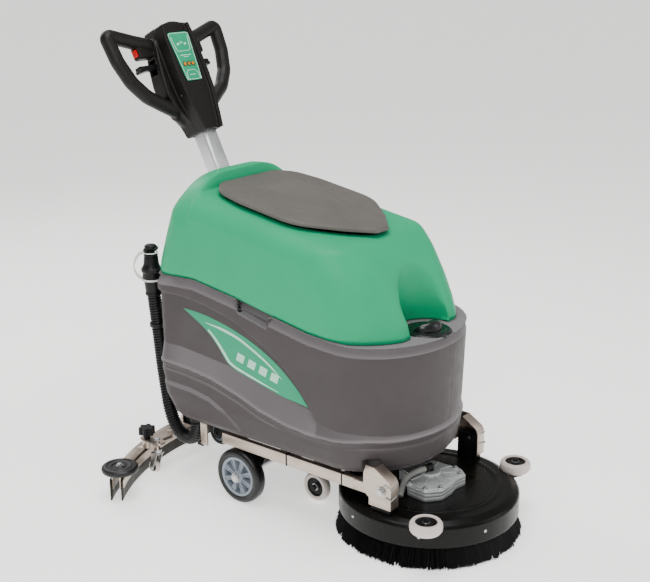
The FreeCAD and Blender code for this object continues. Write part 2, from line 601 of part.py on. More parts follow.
# ---- brush deck ----
def build_deck():
    outer = revolved([(0, DECK_SKIRT), (DECK_RADIUS, DECK_SKIRT), (DECK_RADIUS, 105), (DECK_RADIUS - 5, 111),
                      (DECK_RADIUS - 22, DECK_TOP), (0, DECK_TOP)])
    low = DECK_TOP - DECK_SHEET
    hollow = revolved([(0, DECK_SKIRT - 1), (DECK_RADIUS - 4, DECK_SKIRT - 1), (DECK_RADIUS - 4, 103),
                       (DECK_RADIUS - 23, low), (0, low)])
    for side in (-1, 1):
        outer = outer.cut(rod(BUMPER_X, side * BUMPER_Y, 109, SMALL_RADIUS + 2.5, 20))
        hollow = hollow.cut(rod(BUMPER_X, side * BUMPER_Y, 109 - DECK_SHEET, SMALL_RADIUS + 6.5, 20))
    deck = outer.cut(hollow).cut(rod(0, 0, 100, 32, 40))
    for side in (-1, 1):
        direction = math.atan2(side * BUMPER_Y, BUMPER_X)
        root = Vector(200 * math.cos(direction), 200 * math.sin(direction), 0)
        across = Vector(-math.sin(direction), math.cos(direction), 0) * 30
        centre = Vector(BUMPER_X, side * BUMPER_Y, 0)
        ear_wire = Part.makePolygon([root + across, centre + across * 0.8, centre - across * 0.8, root - across,
                                     root + across])
        ear = Part.Face(ear_wire).extrude(Vector(0, 0, 8)).fuse(rod(centre.x, centre.y, 0, 24, 8))
        ear.translate(Vector(0, 0, 101))
        deck = deck.fuse(ear.cut(revolved([(0, 90), (DECK_RADIUS - 4, 90), (DECK_RADIUS - 4, 103), (0, 103)])))
    route = [Vector(6, -24, 166), Vector(-16, -52, 160), Vector(-22, -84, 140), Vector(-8, -116, 119.5)]
    line = hose(route, 8.0, 2.0, "solution_hose")
    sleeve = hose(route, 8.6, 0, "solution_hose sleeve")
    save("deck_housing", deck.cut(hollow).cut(sleeve).removeSplitter())

    pieces = []
    for side in (-1, 1):
        post = box(-30, 26, min(side * 207, side * 182), max(side * 207, side * 182), DECK_TOP, 188)
        post = post.cut(rod(PIVOT_X, side * 195 - 20, PIVOT_Z, PIVOT_RADIUS + RUNNING, 40, Y_AXIS))
        pieces.append(post)
        bolt = rod(BUMPER_X, side * BUMPER_Y, 109, BOLT_RADIUS, 30)
        washer = rod(BUMPER_X, side * BUMPER_Y, BUMPER_LOW + BUMPER_HEIGHT, 8, 4)
        pieces.append(bolt.fuse(washer))
    save("deck_brackets", *pieces)

    outline = [(-70, 64), (60, 64), (86, 38), (86, -72), (56, -104), (0, -104), (-10, -52), (-70, -44)]
    lower = flat_plate(outline, DECK_TOP + 0.5, 138, 6)
    cover = flat_plate(outline, 139, 150, 6).fuse(rod(8, -8, 150, 26, 7))
    motor_room = rod(-70, 48, 110, 46.5, 80).fuse(sleeve)
    save("gearbox_lower", lower.cut(motor_room).fuse(rod(0, 0, 98, 20, DECK_TOP - 97)))
    save("gearbox_cover", cover.cut(motor_room))
    save("brush_motor", revolved([(0, 0), (44, 0), (44, 56), (36, 62), (0, 62)], -70, 48, DECK_TOP + 0.5))
    elbow = rod(8, -8, 157.5, 9, 16).fuse(rod(8, -8, 166, 9, 18, Vector(-0.1, -1, 0)))
    save("solution_hose", line.cut(elbow), elbow)

    block = revolved([(95, 62), (212, 62), (215, 67), (212, 82), (95, 82)])
    plate = revolved([(0, 82), (96, 82), (96, 97), (0, 97)])
    save("brush_block", block.fuse(plate).fuse(revolved([(0, 70), (96, 70), (96, 82), (0, 82)])))
    save("bristle_ring", revolved([(128, 62), (130, 20), (126, 0), (BRUSH_RADIUS, 0), (234, 14), (224, 42),
                                   (208, 62)]))


# ---- squeegee ----
def swept_arc(profile, half_angle=BLADE_HALF_ANGLE):
    """A section of (radius, height) points swept along the squeegee's curve, open towards the front."""
    centre = Vector(BLADE_CENTRE_X, 0, 0)
    points = [Vector(BLADE_CENTRE_X + radius, 0, height) for radius, height in profile]
    face = Part.Face(Part.makePolygon(points + points[:1]))
    face.rotate(centre, Z_AXIS, 180 - half_angle)
    return face.revolve(centre, Z_AXIS, 2 * half_angle)


def strip(inner, outer, low, high, half_angle=BLADE_HALF_ANGLE):
    return swept_arc([(inner, low), (outer, low), (outer, high), (inner, high)], half_angle)


def build_squeegee():
    front = BLADE_RADIUS - 30
    rear = BLADE_RADIUS - 5
    skirt = 4
    body = swept_arc([(front, 30), (front + skirt, 30), (front + skirt, 64), (rear - skirt, 64), (rear - skirt, 30),
                      (rear, 30), (rear, 70), (front, 70)])
    nozzle_x = BLADE_CENTRE_X - BLADE_RADIUS + 18
    nozzle = revolved([(10, 65), (24, 65), (24, 73), (22, 76), (22, 129), (17, 129), (17, 76), (10, 72)], nozzle_x)
    body = body.cut(rod(nozzle_x, 0, 50, 15, 40)).fuse(nozzle)
    for side in (-1, 1):
        boss = rod(KNOB_X, side * KNOB_Y, 66, 15, 22)
        lug = box(DISC_X - 14, DISC_X + 14, side * DISC_Y - 14, side * DISC_Y + 14, 66, 72)
        pin = rod(DISC_X, side * DISC_Y, 69, BOLT_RADIUS, 21)
        body = body.fuse(boss).fuse(lug).fuse(pin)
        body = body.cut(rod(KNOB_X, side * KNOB_Y, 71, STUD_RADIUS + RUNNING, 20))
    save("squeegee_body", body)

    over = 0.6
    rear_blade = strip(rear + 0.3, rear + 4, 0, 58, BLADE_HALF_ANGLE + over)
    front_blade = strip(front - 4, front - 0.3, 0, 58, BLADE_HALF_ANGLE + over)
    save("squeegee_blades", rear_blade, front_blade)
    rear_clamp = strip(rear + 4.1, rear + 6.5, 34, 58)
    front_clamp = strip(front - 7, front - 4.1, 34, 58)
    save("blade_clamps", rear_clamp, front_clamp)

    beam = box(-798, -768, -198, 198, 78, 92).cut(box(-796, -770, -199, 199, 76, 90))
    parts = [beam]
    for side in (-1, 1):
        plate = flat_plate([(-828, -16), (-745, -16), (-745, 16), (-828, 16)], 88.1, 92, 12)
        plate.translate(Vector(0, side * 212, 0))
        plate = plate.cut(rod(KNOB_X, side * KNOB_Y, 80, 6.5, 20))
        parts.append(plate)
        arm_y = side * ARM_Y
        arm = side_plate([(-796, 80), (SQ_PIVOT_X - 6, 104), (SQ_PIVOT_X + 12, 104), (SQ_PIVOT_X + 12, 121),
                          (SQ_PIVOT_X - 10, 121), (-796, 96)], arm_y - 3, arm_y + 3)
        parts.append(arm.cut(rod(SQ_PIVOT_X, arm_y - 5, SQ_PIVOT_Z, PIVOT_RADIUS + RUNNING, 10, Y_AXIS)))
        parts.append(rod(SQ_CASTER_X, side * SQ_CASTER_Y, 66, 6, 38))
    frame = parts[0]
    for piece in parts[1:]:
        frame = frame.fuse(piece)
    save("squeegee_beam", frame.removeSplitter())

    for side, name in ((-1, "right"), (1, "left")):
        disc = revolved([(BOLT_RADIUS + RUNNING, 0), (42, 0), (49, 4), (50, 9), (48, 15), (40, 18), (30, 14),
                         (14, 14), (14, 17), (BOLT_RADIUS + RUNNING, 17)], DISC_X, side * DISC_Y, 72.3)
        save("bumper_disc_" + name, disc)
        save("star_knob_" + name, make_star_knob(KNOB_X, side * KNOB_Y, 92.4))
        make_squeegee_caster(side, name)


def make_star_knob(x, y, z):
    """Six-lobed clamping knob on a short stud."""
    knob = rod(x, y, z + 12, 17, 22)
    lobes = []
    for index in range(6):
        angle = math.radians(60 * index)
        lobes.append(rod(x + 17 * math.cos(angle), y + 17 * math.sin(angle), z + 12, 6.5, 22))
    return knob.multiFuse(lobes).fuse(rod(x, y, z, 9, 13)).fuse(rod(x, y, z - 20, STUD_RADIUS, 22))


def make_squeegee_caster(side, name):
    """Small zinc swivel caster that sets the blades' height."""
    wheel_radius = 19.0
    x = SQ_CASTER_X
    y = side * SQ_CASTER_Y
    wheel_x = x - 16
    sleeve = ring(x, y, 67, 11, 6 + RUNNING, 8)
    crown = box(x - 14, x + 12, y - 13, y + 13, 62, 65.5).cut(rod(x, y, 60, 6 + RUNNING, 10))
    fork = sleeve.fuse(ring(x, y, 62, 11, 6 + RUNNING, 6)).fuse(crown)
    for cheek_y in (y - 13, y + 10.5):
        fork = fork.fuse(side_plate([(x - 14, 65), (x + 8, 65), (wheel_x + 6, 12), (wheel_x - 6, 12)],
                                    cheek_y, cheek_y + 2.5))
    fork = fork.fuse(rod(wheel_x, y - 14.5, wheel_radius, 3, 29, Y_AXIS))
    save("sq_caster_fork_" + name, fork)
    save("sq_caster_wheel_" + name, small_wheel(wheel_radius, 17, 3 + RUNNING, wheel_x, y - 8.5, wheel_radius, Y_AXIS))


# ---- handle ----
def build_handle():
    lean = math.radians(LEAN)
    bend_z = HANDLE_Z + (HANDLE_X - COLUMN_X) / math.tan(lean)
    top_s = 290.0
    top = Vector(HANDLE_X - top_s * math.sin(lean), 0, HANDLE_Z + top_s * math.cos(lean))
    route = [Vector(COLUMN_X, 0, 192), Vector(COLUMN_X, 0, bend_z), top]
    path = rounded_wire(route, [0, 120.0, 0], closed=False)

    def section(side, corner):
        half = side / 2
        points = [Vector(COLUMN_X + a * half, b * half, 192) for a, b in ((-1, -1), (1, -1), (1, 1), (-1, 1))]
        return rounded_wire(points, [corner] * 4)

    outer = path.makePipeShell([section(COLUMN_SIDE, 10)], True, False)
    inner = path.makePipeShell([section(COLUMN_SIDE - 2 * COLUMN_WALL, 8)], True, False)
    save("handle_column", outer.cut(inner))

    rear_half = [(34, 46), (42, 80), (70, 125), (84, 165), (82, 200), (72, 260), (60, 310), (46, 350)]
    front_half = [(32, 46), (40, 80), (54, 150), (56, 200), (52, 300), (44, 350)]

    def shell(outline, x0, x1):
        points = [Vector(x0, y, z) for y, z in outline] + [Vector(x0, -y, z) for y, z in reversed(outline)]
        wire = rounded_wire(points, [6.0] * len(points))
        return Part.Face(wire).extrude(Vector(x1 - x0, 0, 0))

    housing = shell(rear_half, -38, 8).fuse(shell(front_half, 0, 36))
    for side in (-1, 1):
        low_y = min(side * 60, side * 118)
        boss = box(-30, -6, low_y, low_y + 58, 278, 312)
        pocket_y = min(side * 103, side * 119)
        pocket = box(-27, -9, pocket_y, pocket_y + 16, 282, 304)
        housing = housing.fuse(boss).cut(pocket)
        slot_y = min(side * 50, side * 92)
        housing = housing.cut(box(-34, -6, slot_y, slot_y + 42, 226, 272))
        housing = housing.fuse(rod(-36, side * 62, 250, 4, 32, X_AXIS))
    socket = box(-COLUMN_SIDE / 2 - 0.2, COLUMN_SIDE / 2 + 0.2, -COLUMN_SIDE / 2 - 0.2, COLUMN_SIDE / 2 + 0.2, 40, 291)
    housing = housing.cut(socket)
    grips = {}
    for side, name in ((-1, "right"), (1, "left")):
        line = [(55, 306), (120, 323), (203, 349), (196, 275), (176, 215), (142, 171), (88, 136), (58, 118)]
        points = [Vector(-12, side * y, z) for y, z in line]
        loop = Part.Wire(rounded_wire(points, [0, 30, 10, 60, 60, 60, 60, 0], closed=False))
        circle = Part.Wire(Part.makeCircle(GRIP_RADIUS, points[0], points[1] - points[0]))
        tube = loop.makePipeShell([circle], True, False)
        grips[name] = tube.cut(housing).Solids
        grips[name] = max(grips[name], key=lambda solid: solid.Volume)
        save("grip_" + name, in_handle(grips[name]))
        button = box(-26.5, -9.5, min(side * 110, side * 124), max(side * 110, side * 124), 282.5, 303.5)
        save("power_button_" + name, in_handle(button))
        paddle = box(-30, -10, min(side * 68, side * 130), max(side * 68, side * 130), 244, 256)
        paddle = paddle.fuse(rod(-30, side * 62, 250, 9, 20, X_AXIS))
        paddle = paddle.cut(rod(-40, side * 62, 250, 4 + RUNNING, 50, X_AXIS))
        save("paddle_" + name, in_handle(paddle))
    save("console_housing", in_handle(housing.removeSplitter()))
    outline = [(40, 322), (28, 184)]
    points = [Vector(36, y, z) for y, z in outline] + [Vector(36, -y, z) for y, z in reversed(outline)]
    panel = Part.Face(rounded_wire(points, [12, 10, 10, 12])).extrude(Vector(2, 0, 0))
    save("console_panel", in_handle(panel))


# ---- hoses ----
def build_hoses():
    drain_route = [
        Vector(-774, -196, 566), Vector(-774, -191, 506), Vector(-773, -185, 446), Vector(-769, -182, 380),
        Vector(-761, -183, 310), Vector(-748, -186, 246), Vector(-735, -189, 190), Vector(-716, -190, 148),
        Vector(-686, -190, 123), Vector(-652, -190, 125), Vector(-628, -190, 150), Vector(-626, -190, 183.6),
    ]
    save("drain_hose", hose(drain_route, 19.0, 3.0, "drain_hose"))
    coupling = revolved([(20, 0), (25, 0), (25, 34), (21, 44), (19, 64), (16, 64), (16, 8), (20, 8)],
                        -774, -196, 560)
    strap = box(-760, -744.3, -208, -190, 584, 592).cut(rod(-774, -196, 580, 26, 20))
    hook = ring(-774, -196, 583, 28, 25.1, 10)
    clamp = ring(-772, -184.3, 424, 22.5, 20.5, 12)
    clamp = clamp.fuse(box(-760, -742, -189, -178, 424, 436).cut(rod(-772, -184.3, 420, 20.5, 20)))
    foot = Vector(-783, 90, 505.3)
    elbow_path = rounded_wire([foot, Vector(-783, 90, 548), Vector(-744.2, 90, 548)], [0, 30, 0], False)
    bends = [elbow_path.makePipeShell([Part.Wire(Part.makeCircle(radius, foot))], True, False) for radius in (25, 18)]
    spigot = ring(-626, -190, 185.2, 22, 14, 10.7)
    save("hose_fittings", coupling.fuse(hook).fuse(strap), clamp, bends[0].cut(bends[1]), spigot)
    plug = revolved([(0, 65), (19, 65), (19, 70), (11, 74), (11, 80), (0, 80)], -774, -196, 560)
    stem = rod(-774, -196, 606, 15.5, 20)
    bar = rod(-774, -218, 644, 7, 44, Y_AXIS)
    save("drain_plug", plug.fuse(stem).fuse(bar))
    nozzle_x = BLADE_CENTRE_X - BLADE_RADIUS + 18
    suction_route = [
        Vector(nozzle_x, 0, 129.3), Vector(nozzle_x, 0, 182), Vector(nozzle_x + 8, 16, 238), Vector(-831, 38, 296),
        Vector(-810, 60, 352), Vector(-795, 77, 404), Vector(-786, 87, 455), Vector(-783, 90, 503),
    ]
    save("suction_hose", hose(suction_route, 21.0, 3.0, "suction_hose"))


def main():
    os.makedirs("parts", exist_ok=True)
    build_frame()
    build_wheels()
    build_tanks()
    build_deck()
    build_squeegee()
    build_handle()
    build_hoses()
    low = [min(row[i] for row in EXTENTS) for i in (0, 2, 4)]
    high = [max(row[i] for row in EXTENTS) for i in (1, 3, 5)]
    print("box", [round(v, 1) for v in low], [round(v, 1) for v in high])


main()
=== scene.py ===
import math
import random

import bmesh
import bpy
import numpy as np
from mathutils import Matrix, Vector
from mathutils.bvhtree import BVHTree


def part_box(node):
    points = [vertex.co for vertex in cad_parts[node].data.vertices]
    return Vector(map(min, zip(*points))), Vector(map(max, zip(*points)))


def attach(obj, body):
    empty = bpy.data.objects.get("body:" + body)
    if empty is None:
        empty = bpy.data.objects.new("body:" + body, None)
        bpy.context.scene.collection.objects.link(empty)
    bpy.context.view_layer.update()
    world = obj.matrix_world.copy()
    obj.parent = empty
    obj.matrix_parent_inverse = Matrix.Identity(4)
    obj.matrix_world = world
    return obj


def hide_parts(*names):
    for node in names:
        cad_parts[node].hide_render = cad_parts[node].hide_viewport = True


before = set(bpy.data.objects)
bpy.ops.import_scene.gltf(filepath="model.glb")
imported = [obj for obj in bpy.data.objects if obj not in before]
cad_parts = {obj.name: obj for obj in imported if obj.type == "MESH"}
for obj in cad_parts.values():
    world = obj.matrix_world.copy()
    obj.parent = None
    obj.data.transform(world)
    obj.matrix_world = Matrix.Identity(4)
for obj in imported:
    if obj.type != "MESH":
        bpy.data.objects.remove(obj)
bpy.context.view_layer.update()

# Shapes are written in millimetres, measured from the brush's axis on the floor:
# x forward, y to the machine's left, z up. to_row() turns them into the frame's metres.
MM = 0.001
BRISTLE_LOW, BRISTLE_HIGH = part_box("bristle_ring")
BRUSH_X = (BRISTLE_LOW.x + BRISTLE_HIGH.x) / 2
LEAN = math.radians(27)
HANDLE_X = -728.5
HANDLE_Z = 892.5


def to_row(x, y, z):
    return Vector((BRUSH_X + x * MM, y * MM, z * MM))


def from_row(array):
    out = np.array(array, float) / MM
    out[:, 0] -= BRUSH_X / MM
    return out


def linear(red, green, blue):
    """An sRGB colour of 0 to 255 as the linear colour that a shader takes."""
    def one(value):
        value /= 255
        return value / 12.92 if value <= 0.04045 else ((value + 0.055) / 1.055) ** 2.4
    return one(red), one(green), one(blue), 1.0


# ---- materials ----
class Graph:
    """A material's node tree, with the few nodes that every finish here is made of."""

    def __init__(self, name):
        self.material = bpy.data.materials.new(name)
        self.material.use_nodes = True
        self.tree = self.material.node_tree
        self.shader = self.tree.nodes["Principled BSDF"]
        self.place = self.node("ShaderNodeTexCoord").outputs["Object"]

    def node(self, kind, **settings):
        made = self.tree.nodes.new(kind)
        for key, value in settings.items():
            if key in made.inputs:
                made.inputs[key].default_value = value
            else:
                setattr(made, key, value)
        return made

    def link(self, source, target):
        self.tree.links.new(source, target)

    def noise(self, scale, detail=3.0, stretch=(1, 1, 1)):
        mapping = self.node("ShaderNodeMapping", Scale=stretch)
        self.link(self.place, mapping.inputs["Vector"])
        noise = self.node("ShaderNodeTexNoise", Scale=scale, Detail=detail)
        self.link(mapping.outputs["Vector"], noise.inputs["Vector"])
        return noise.outputs["Fac"]

    def ramp(self, value, stops):
        ramp = self.node("ShaderNodeValToRGB")
        elements = ramp.color_ramp.elements
        while len(elements) < len(stops):
            elements.new(0.5)
        for element, (position, colour) in zip(elements, stops):
            element.position = position
            element.color = colour
        self.link(value, ramp.inputs["Fac"])
        return ramp.outputs["Color"]

    def spread(self, value, low, high):
        ranged = self.node("ShaderNodeMapRange")
        ranged.inputs["From Min"].default_value = 0.3
        ranged.inputs["From Max"].default_value = 0.7
        ranged.inputs["To Min"].default_value = low
        ranged.inputs["To Max"].default_value = high
        self.link(value, ranged.inputs["Value"])
        return ranged.outputs["Result"]

    def bump(self, value, strength, distance):
        bump = self.node("ShaderNodeBump", Strength=strength, Distance=distance)
        self.link(value, bump.inputs["Height"])
        self.link(bump.outputs["Normal"], self.shader.inputs["Normal"])


def shade(colour, factor):
    return colour[0] * factor, colour[1] * factor, colour[2] * factor, 1.0


def plastic(name, colour, rough=0.45, grain=900, depth=0.15, mottle=0.06, coat=0.0, speckle=None, specular=0.22,
            painted_top_light=None):
    """Moulded plastic or rubber: cloudy colour, uneven gloss and a fine moulded grain. An optional lighter colour
    is painted on upward-facing faces as a painted highlight from above.
    """
    graph = Graph(name)
    cloud = graph.noise(9, 4)
    body = graph.ramp(cloud, [(0.32, shade(colour, 1 - mottle)), (0.68, shade(colour, 1 + mottle))])
    if speckle:
        dots = graph.ramp(graph.noise(420, 2), [(0.60, (0, 0, 0, 1)), (0.70, (1, 1, 1, 1))])
        mix = graph.node("ShaderNodeMix", data_type="RGBA")
        graph.link(dots, mix.inputs["Factor"])
        graph.link(body, mix.inputs[6])
        mix.inputs[7].default_value = speckle
        body = mix.outputs[2]
    # Painted light: faces that point up are mixed towards a lighter colour, a painted highlight standing in for
    # light from above.
    if painted_top_light:
        normal = graph.node("ShaderNodeSeparateXYZ")
        graph.link(graph.node("ShaderNodeNewGeometry").outputs["True Normal"], normal.inputs[0])
        painted_light_mask = graph.ramp(normal.outputs["Z"], [(0.05, (0, 0, 0, 1)), (0.5, (1, 1, 1, 1))])
        mix = graph.node("ShaderNodeMix", data_type="RGBA")
        graph.link(painted_light_mask, mix.inputs["Factor"])
        graph.link(body, mix.inputs[6])
        mix.inputs[7].default_value = painted_top_light
        body = mix.outputs[2]
    graph.link(body, graph.shader.inputs["Base Color"])
    graph.link(graph.spread(graph.noise(38, 4), rough - 0.06, rough + 0.08), graph.shader.inputs["Roughness"])
    graph.bump(graph.noise(grain, 2), depth, 0.0004)
    graph.shader.inputs["Coat Weight"].default_value = coat
    graph.shader.inputs["Coat Roughness"].default_value = 0.12
    graph.shader.inputs["Specular IOR Level"].default_value = specular
    return graph.material


def metal(name, colour, rough=0.3, stretch=(1, 1, 1), grain=160, depth=0.12, mottle=0.08):
    """Bare or plated metal: brushed along one way, with uneven gloss."""
    graph = Graph(name)
    lines = graph.noise(grain, 5, stretch)
    body = graph.ramp(lines, [(0.3, shade(colour, 1 - mottle)), (0.7, shade(colour, 1 + mottle))])
    graph.link(body, graph.shader.inputs["Base Color"])
    graph.link(graph.spread(graph.noise(24, 4), rough - 0.05, rough + 0.1), graph.shader.inputs["Roughness"])
    graph.shader.inputs["Metallic"].default_value = 1.0
    graph.bump(lines, depth, 0.0003)
    return graph.material


ALONG = (0.06, 1, 1)
FINISH = {
    # The grey tank's upward-facing faces get a lighter grey, a painted highlight standing in for light from above.
    "tank_grey": plastic("tank_grey", linear(70, 64, 65), 0.50, 1400, 0.22, 0.04, painted_top_light=linear(124, 119, 122)),
    "tank_green": plastic("tank_green", linear(6, 162, 110), 0.46, 700, 0.06, 0.03, specular=0.2),
    "lid_grey": plastic("lid_grey", linear(92, 88, 84), 0.44, 900, 0.3, 0.08, speckle=linear(112, 109, 104)),
    "cap_black": plastic("cap_black", linear(14, 16, 16), 0.24, 900, 0.06, specular=0.5),
    "console_black": plastic("console_black", linear(20, 17, 16), 0.44, 1500, 0.3),
    "knob_black": plastic("knob_black", linear(14, 13, 13), 0.38, 1100, 0.15),
    "fitting_black": plastic("fitting_black", linear(14, 14, 14), 0.40, 1100, 0.15),
    "hose_black": plastic("hose_black", linear(12, 11, 11), 0.38, 500, 0.1, specular=0.4),
    "hose_grey": plastic("hose_grey", linear(150, 150, 146), 0.40, 500, 0.06),
    "tether_white": plastic("tether_white", linear(214, 214, 210), 0.40, 500, 0.06),
    "deck_black": plastic("deck_black", linear(9, 8, 7), 0.3, 500, 0.06, specular=0.16, coat=0.02),
    "block": plastic("block", linear(18, 18, 18), 0.5, 800, 0.2),
    "bristle": plastic("bristle", linear(16, 15, 15), 0.55, 900, 0.1),
    "tyre": plastic("tyre", linear(13, 13, 14), 0.32, 1000, 0.12, specular=0.4),
    "rim_grey": plastic("rim_grey", linear(140, 148, 158), 0.42, 900, 0.1),
    "roller": plastic("roller", linear(214, 203, 196), 0.42, 700, 0.15),
    "roller_hub": plastic("roller_hub", linear(15, 14, 14), 0.38, 900, 0.1),
    "rubber_blade": plastic("rubber_blade", linear(36, 33, 24), 0.46, 700, 0.12),
    "rubber_disc": plastic("rubber_disc", linear(15, 15, 15), 0.38, 900, 0.12, specular=0.4),
    "battery": plastic("battery", linear(52, 52, 56), 0.45, 900, 0.2),
    "motor": plastic("motor", linear(26, 26, 27), 0.40, 900, 0.2),
    "frame_black": plastic("frame_black", linear(14, 13, 14), 0.42, 700, 0.12),
    "decal_green": plastic("decal_green", linear(8, 152, 108), 0.34, 500, 0.03, 0.02, specular=0.3),
    "decal_light": plastic("decal_light", linear(176, 226, 204), 0.34, 500, 0.03, 0.02),
    "panel_green": plastic("panel_green", linear(8, 146, 104), 0.34, 500, 0.03, 0.02, specular=0.3),
    "button_red": plastic("button_red", linear(190, 20, 12), 0.36, 700, 0.1),
    "led_amber": plastic("led_amber", linear(196, 124, 24), 0.28, 500, 0.03),
    "stainless": metal("stainless", linear(186, 172, 160), 0.36, ALONG),
    "zinc": metal("zinc", linear(186, 188, 188), 0.30, (1, 1, 1), 300, 0.2, 0.14),
    "column_alu": metal("column_alu", linear(222, 224, 224), 0.38, (1, 1, 0.05), 200, 0.08, 0.04),
    "cast_alu": metal("cast_alu", linear(206, 210, 209), 0.60, (1, 1, 1), 700, 0.6, 0.08),
}


# ---- shape helpers: a shape is (points, faces), in millimetres ----
def merged(*shapes):
    points, faces = [], []
    for some_points, some_faces in shapes:
        start = len(points)
        points += [tuple(p) for p in some_points]
        faces += [tuple(start + index for index in face) for face in some_faces]
    return points, faces


def moved(shape, matrix):
    return [tuple(matrix @ Vector(p)) for p in shape[0]], shape[1]


def shifted(shape, x, y, z):
    return moved(shape, Matrix.Translation((x, y, z)))


def spun(shape, degrees, axis="Z", centre=(0, 0, 0)):
    there = Matrix.Translation(centre)
    return moved(shape, there @ Matrix.Rotation(math.radians(degrees), 4, axis) @ there.inverted())


def pointing(shape, direction, centre):
    """The shape with its own +Z turned to the direction and its origin set at the centre."""
    turn = Vector((0, 0, 1)).rotation_difference(Vector(direction)).to_matrix().to_4x4()
    return moved(shape, Matrix.Translation(centre) @ turn)


def handle(shape):
    """From the leaning handle's own frame (x forward, z up its line) to the machine's."""
    def place(x, y, s):
        return (HANDLE_X + x * math.cos(LEAN) - s * math.sin(LEAN), y,
                HANDLE_Z + x * math.sin(LEAN) + s * math.cos(LEAN))
    return [place(*p) for p in shape[0]], shape[1]


def sheet_of(rows, loop=False):
    """Faces between rows of points that all have the same count."""
    count = len(rows[0])
    points = [tuple(p) for line in rows for p in line]
    faces = []
    for r in range(len(rows) - 1):
        for c in range(count if loop else count - 1):
            n = (c + 1) % count
            faces.append((r * count + c, r * count + n, (r + 1) * count + n, (r + 1) * count + c))
    return points, faces


def closed_loft(rows):
    """A loft of closed rings with flat ends."""
    points, faces = sheet_of(rows, loop=True)
    count = len(rows[0])
    faces.append(tuple(reversed(range(count))))
    faces.append(tuple(range(len(points) - count, len(points))))
    return points, faces


def rounded(points, radius, closed=True, steps=4):
    """A 2-D outline with its corners rounded; radius is one number or one for each corner."""
    count = len(points)
    radii = radius if isinstance(radius, (list, tuple)) else [radius] * count
    out = []
    for index, point in enumerate(points):
        corner = Vector(point)
        if radii[index] <= 0 or not closed and index in (0, count - 1):
            out.append(tuple(corner))
            continue
        before = Vector(points[index - 1]) - corner
        after = Vector(points[(index + 1) % count]) - corner
        if before.length < 1e-6 or after.length < 1e-6:
            out.append(tuple(corner))
            continue
        half = before.angle(after) / 2
        if half > math.pi / 2 - 0.02:
            out.append(tuple(corner))
            continue
        reach = min(radii[index] / math.tan(half), 0.49 * before.length, 0.49 * after.length)
        start = corner + before.normalized() * reach
        end = corner + after.normalized() * reach
        for step in range(steps + 1):
            t = step / steps
            out.append(tuple(start * (1 - t) ** 2 + corner * 2 * t * (1 - t) + end * t ** 2))
    return out


def lathe(profile, steps=64, soft=0.8):
    """A profile of (radius, height) turned about Z, with its corners rounded."""
    line = rounded([(max(r, 0.0), h) for r, h in profile], soft, closed=False, steps=3)
    rows = []
    for radius, height in line:
        ring = [(radius * math.cos(2 * math.pi * k / steps), radius * math.sin(2 * math.pi * k / steps), height)
                for k in range(steps)]
        rows.append(ring)
    return sheet_of(rows, loop=True)


def lathe_closed(profile, steps=64, soft=0.8):
    """A lathe whose profile closes on itself, for rings."""
    line = rounded(profile, soft, closed=True, steps=3)
    line.append(line[0])
    rows = [[(r * math.cos(2 * math.pi * k / steps), r * math.sin(2 * math.pi * k / steps), h)
             for k in range(steps)] for r, h in line]
    return sheet_of(rows, loop=True)


def beveled(shape, width, segments=2, angle=35):
    mesh = bmesh.new()
    made = [mesh.verts.new(p) for p in shape[0]]
    for face in shape[1]:
        mesh.faces.new([made[index] for index in face])
    bmesh.ops.recalc_face_normals(mesh, faces=mesh.faces)
    limit = math.radians(angle)
    edges = [e for e in mesh.edges if len(e.link_faces) == 2 and e.calc_face_angle(0) > limit]
    bmesh.ops.bevel(mesh, geom=edges, offset=width, segments=segments, profile=0.5, affect="EDGES",
                    clamp_overlap=True)
    mesh.verts.index_update()
    out = [tuple(v.co) for v in mesh.verts], [tuple(v.index for v in f.verts) for f in mesh.faces]
    mesh.free()
    return out


def prism(outline, low, high, bevel=0.0):
    """A flat outline in x and y, drawn up from one height to another."""
    shape = closed_loft([[(x, y, low) for x, y in outline], [(x, y, high) for x, y in outline]])
    return beveled(shape, bevel) if bevel else shape


def block(x0, x1, y0, y1, z0, z1, bevel=0.8):
    return prism([(x0, y0), (x1, y0), (x1, y1), (x0, y1)], z0, z1, bevel)


def hex_bolt(across=13.0, head=5.5, washer=1.2, shank=0.0):
    """A hexagon head on a washer, with its seat at z 0."""
    radius = across / math.sqrt(3)
    corners = [(radius * math.cos(math.radians(60 * k)), radius * math.sin(math.radians(60 * k)))
               for k in range(6)]
    parts = [prism(corners, washer, washer + head, 0.7),
             lathe([(0, washer + head - 0.2), (across * 0.44, washer + head - 0.2),
                    (across * 0.42, washer + head + 0.4), (0, washer + head + 0.4)], 24, 0.2),
             lathe([(0, 0), (across * 0.78, 0), (across * 0.78, washer), (0, washer)], 32, 0.3)]
    if shank:
        parts.append(lathe([(0, -shank), (across * 0.27, -shank), (across * 0.27, 0.1), (0, 0.1)], 20, 0.3))
    return merged(*parts)


def dome_screw(radius=4.0, height=2.2):
    """A low domed screw head with a crossed recess, seat at z 0."""
    head = lathe([(0, 0), (radius, 0), (radius, height * 0.3), (radius * 0.75, height * 0.85), (0, height)],
                 24, 0.5)
    slots = [block(-radius * 0.5, radius * 0.5, -0.45, 0.45, height * 0.8, height + 0.15, 0.1)]
    slots.append(spun(slots[0], 90))
    return merged(head, *slots)


def curve_through(points, per=10, closed=False):
    """A smooth line (Catmull-Rom) through given points."""
    line = [Vector(p) for p in points]
    count = len(line)
    out = []
    spans = count if closed else count - 1
    for index in range(spans):
        a = line[(index - 1) % count] if closed or index > 0 else line[0] * 2 - line[1]
        b = line[index]
        c = line[(index + 1) % count]
        d = line[(index + 2) % count] if closed or index + 2 < count else line[-1] * 2 - line[-2]
        for step in range(per):
            t = step / per
            out.append(0.5 * ((2 * b) + (c - a) * t + (2 * a - 5 * b + 4 * c - d) * t * t
                              + (3 * b - a - 3 * c + d) * t ** 3))
    if not closed:
        out.append(line[-1])
    return out


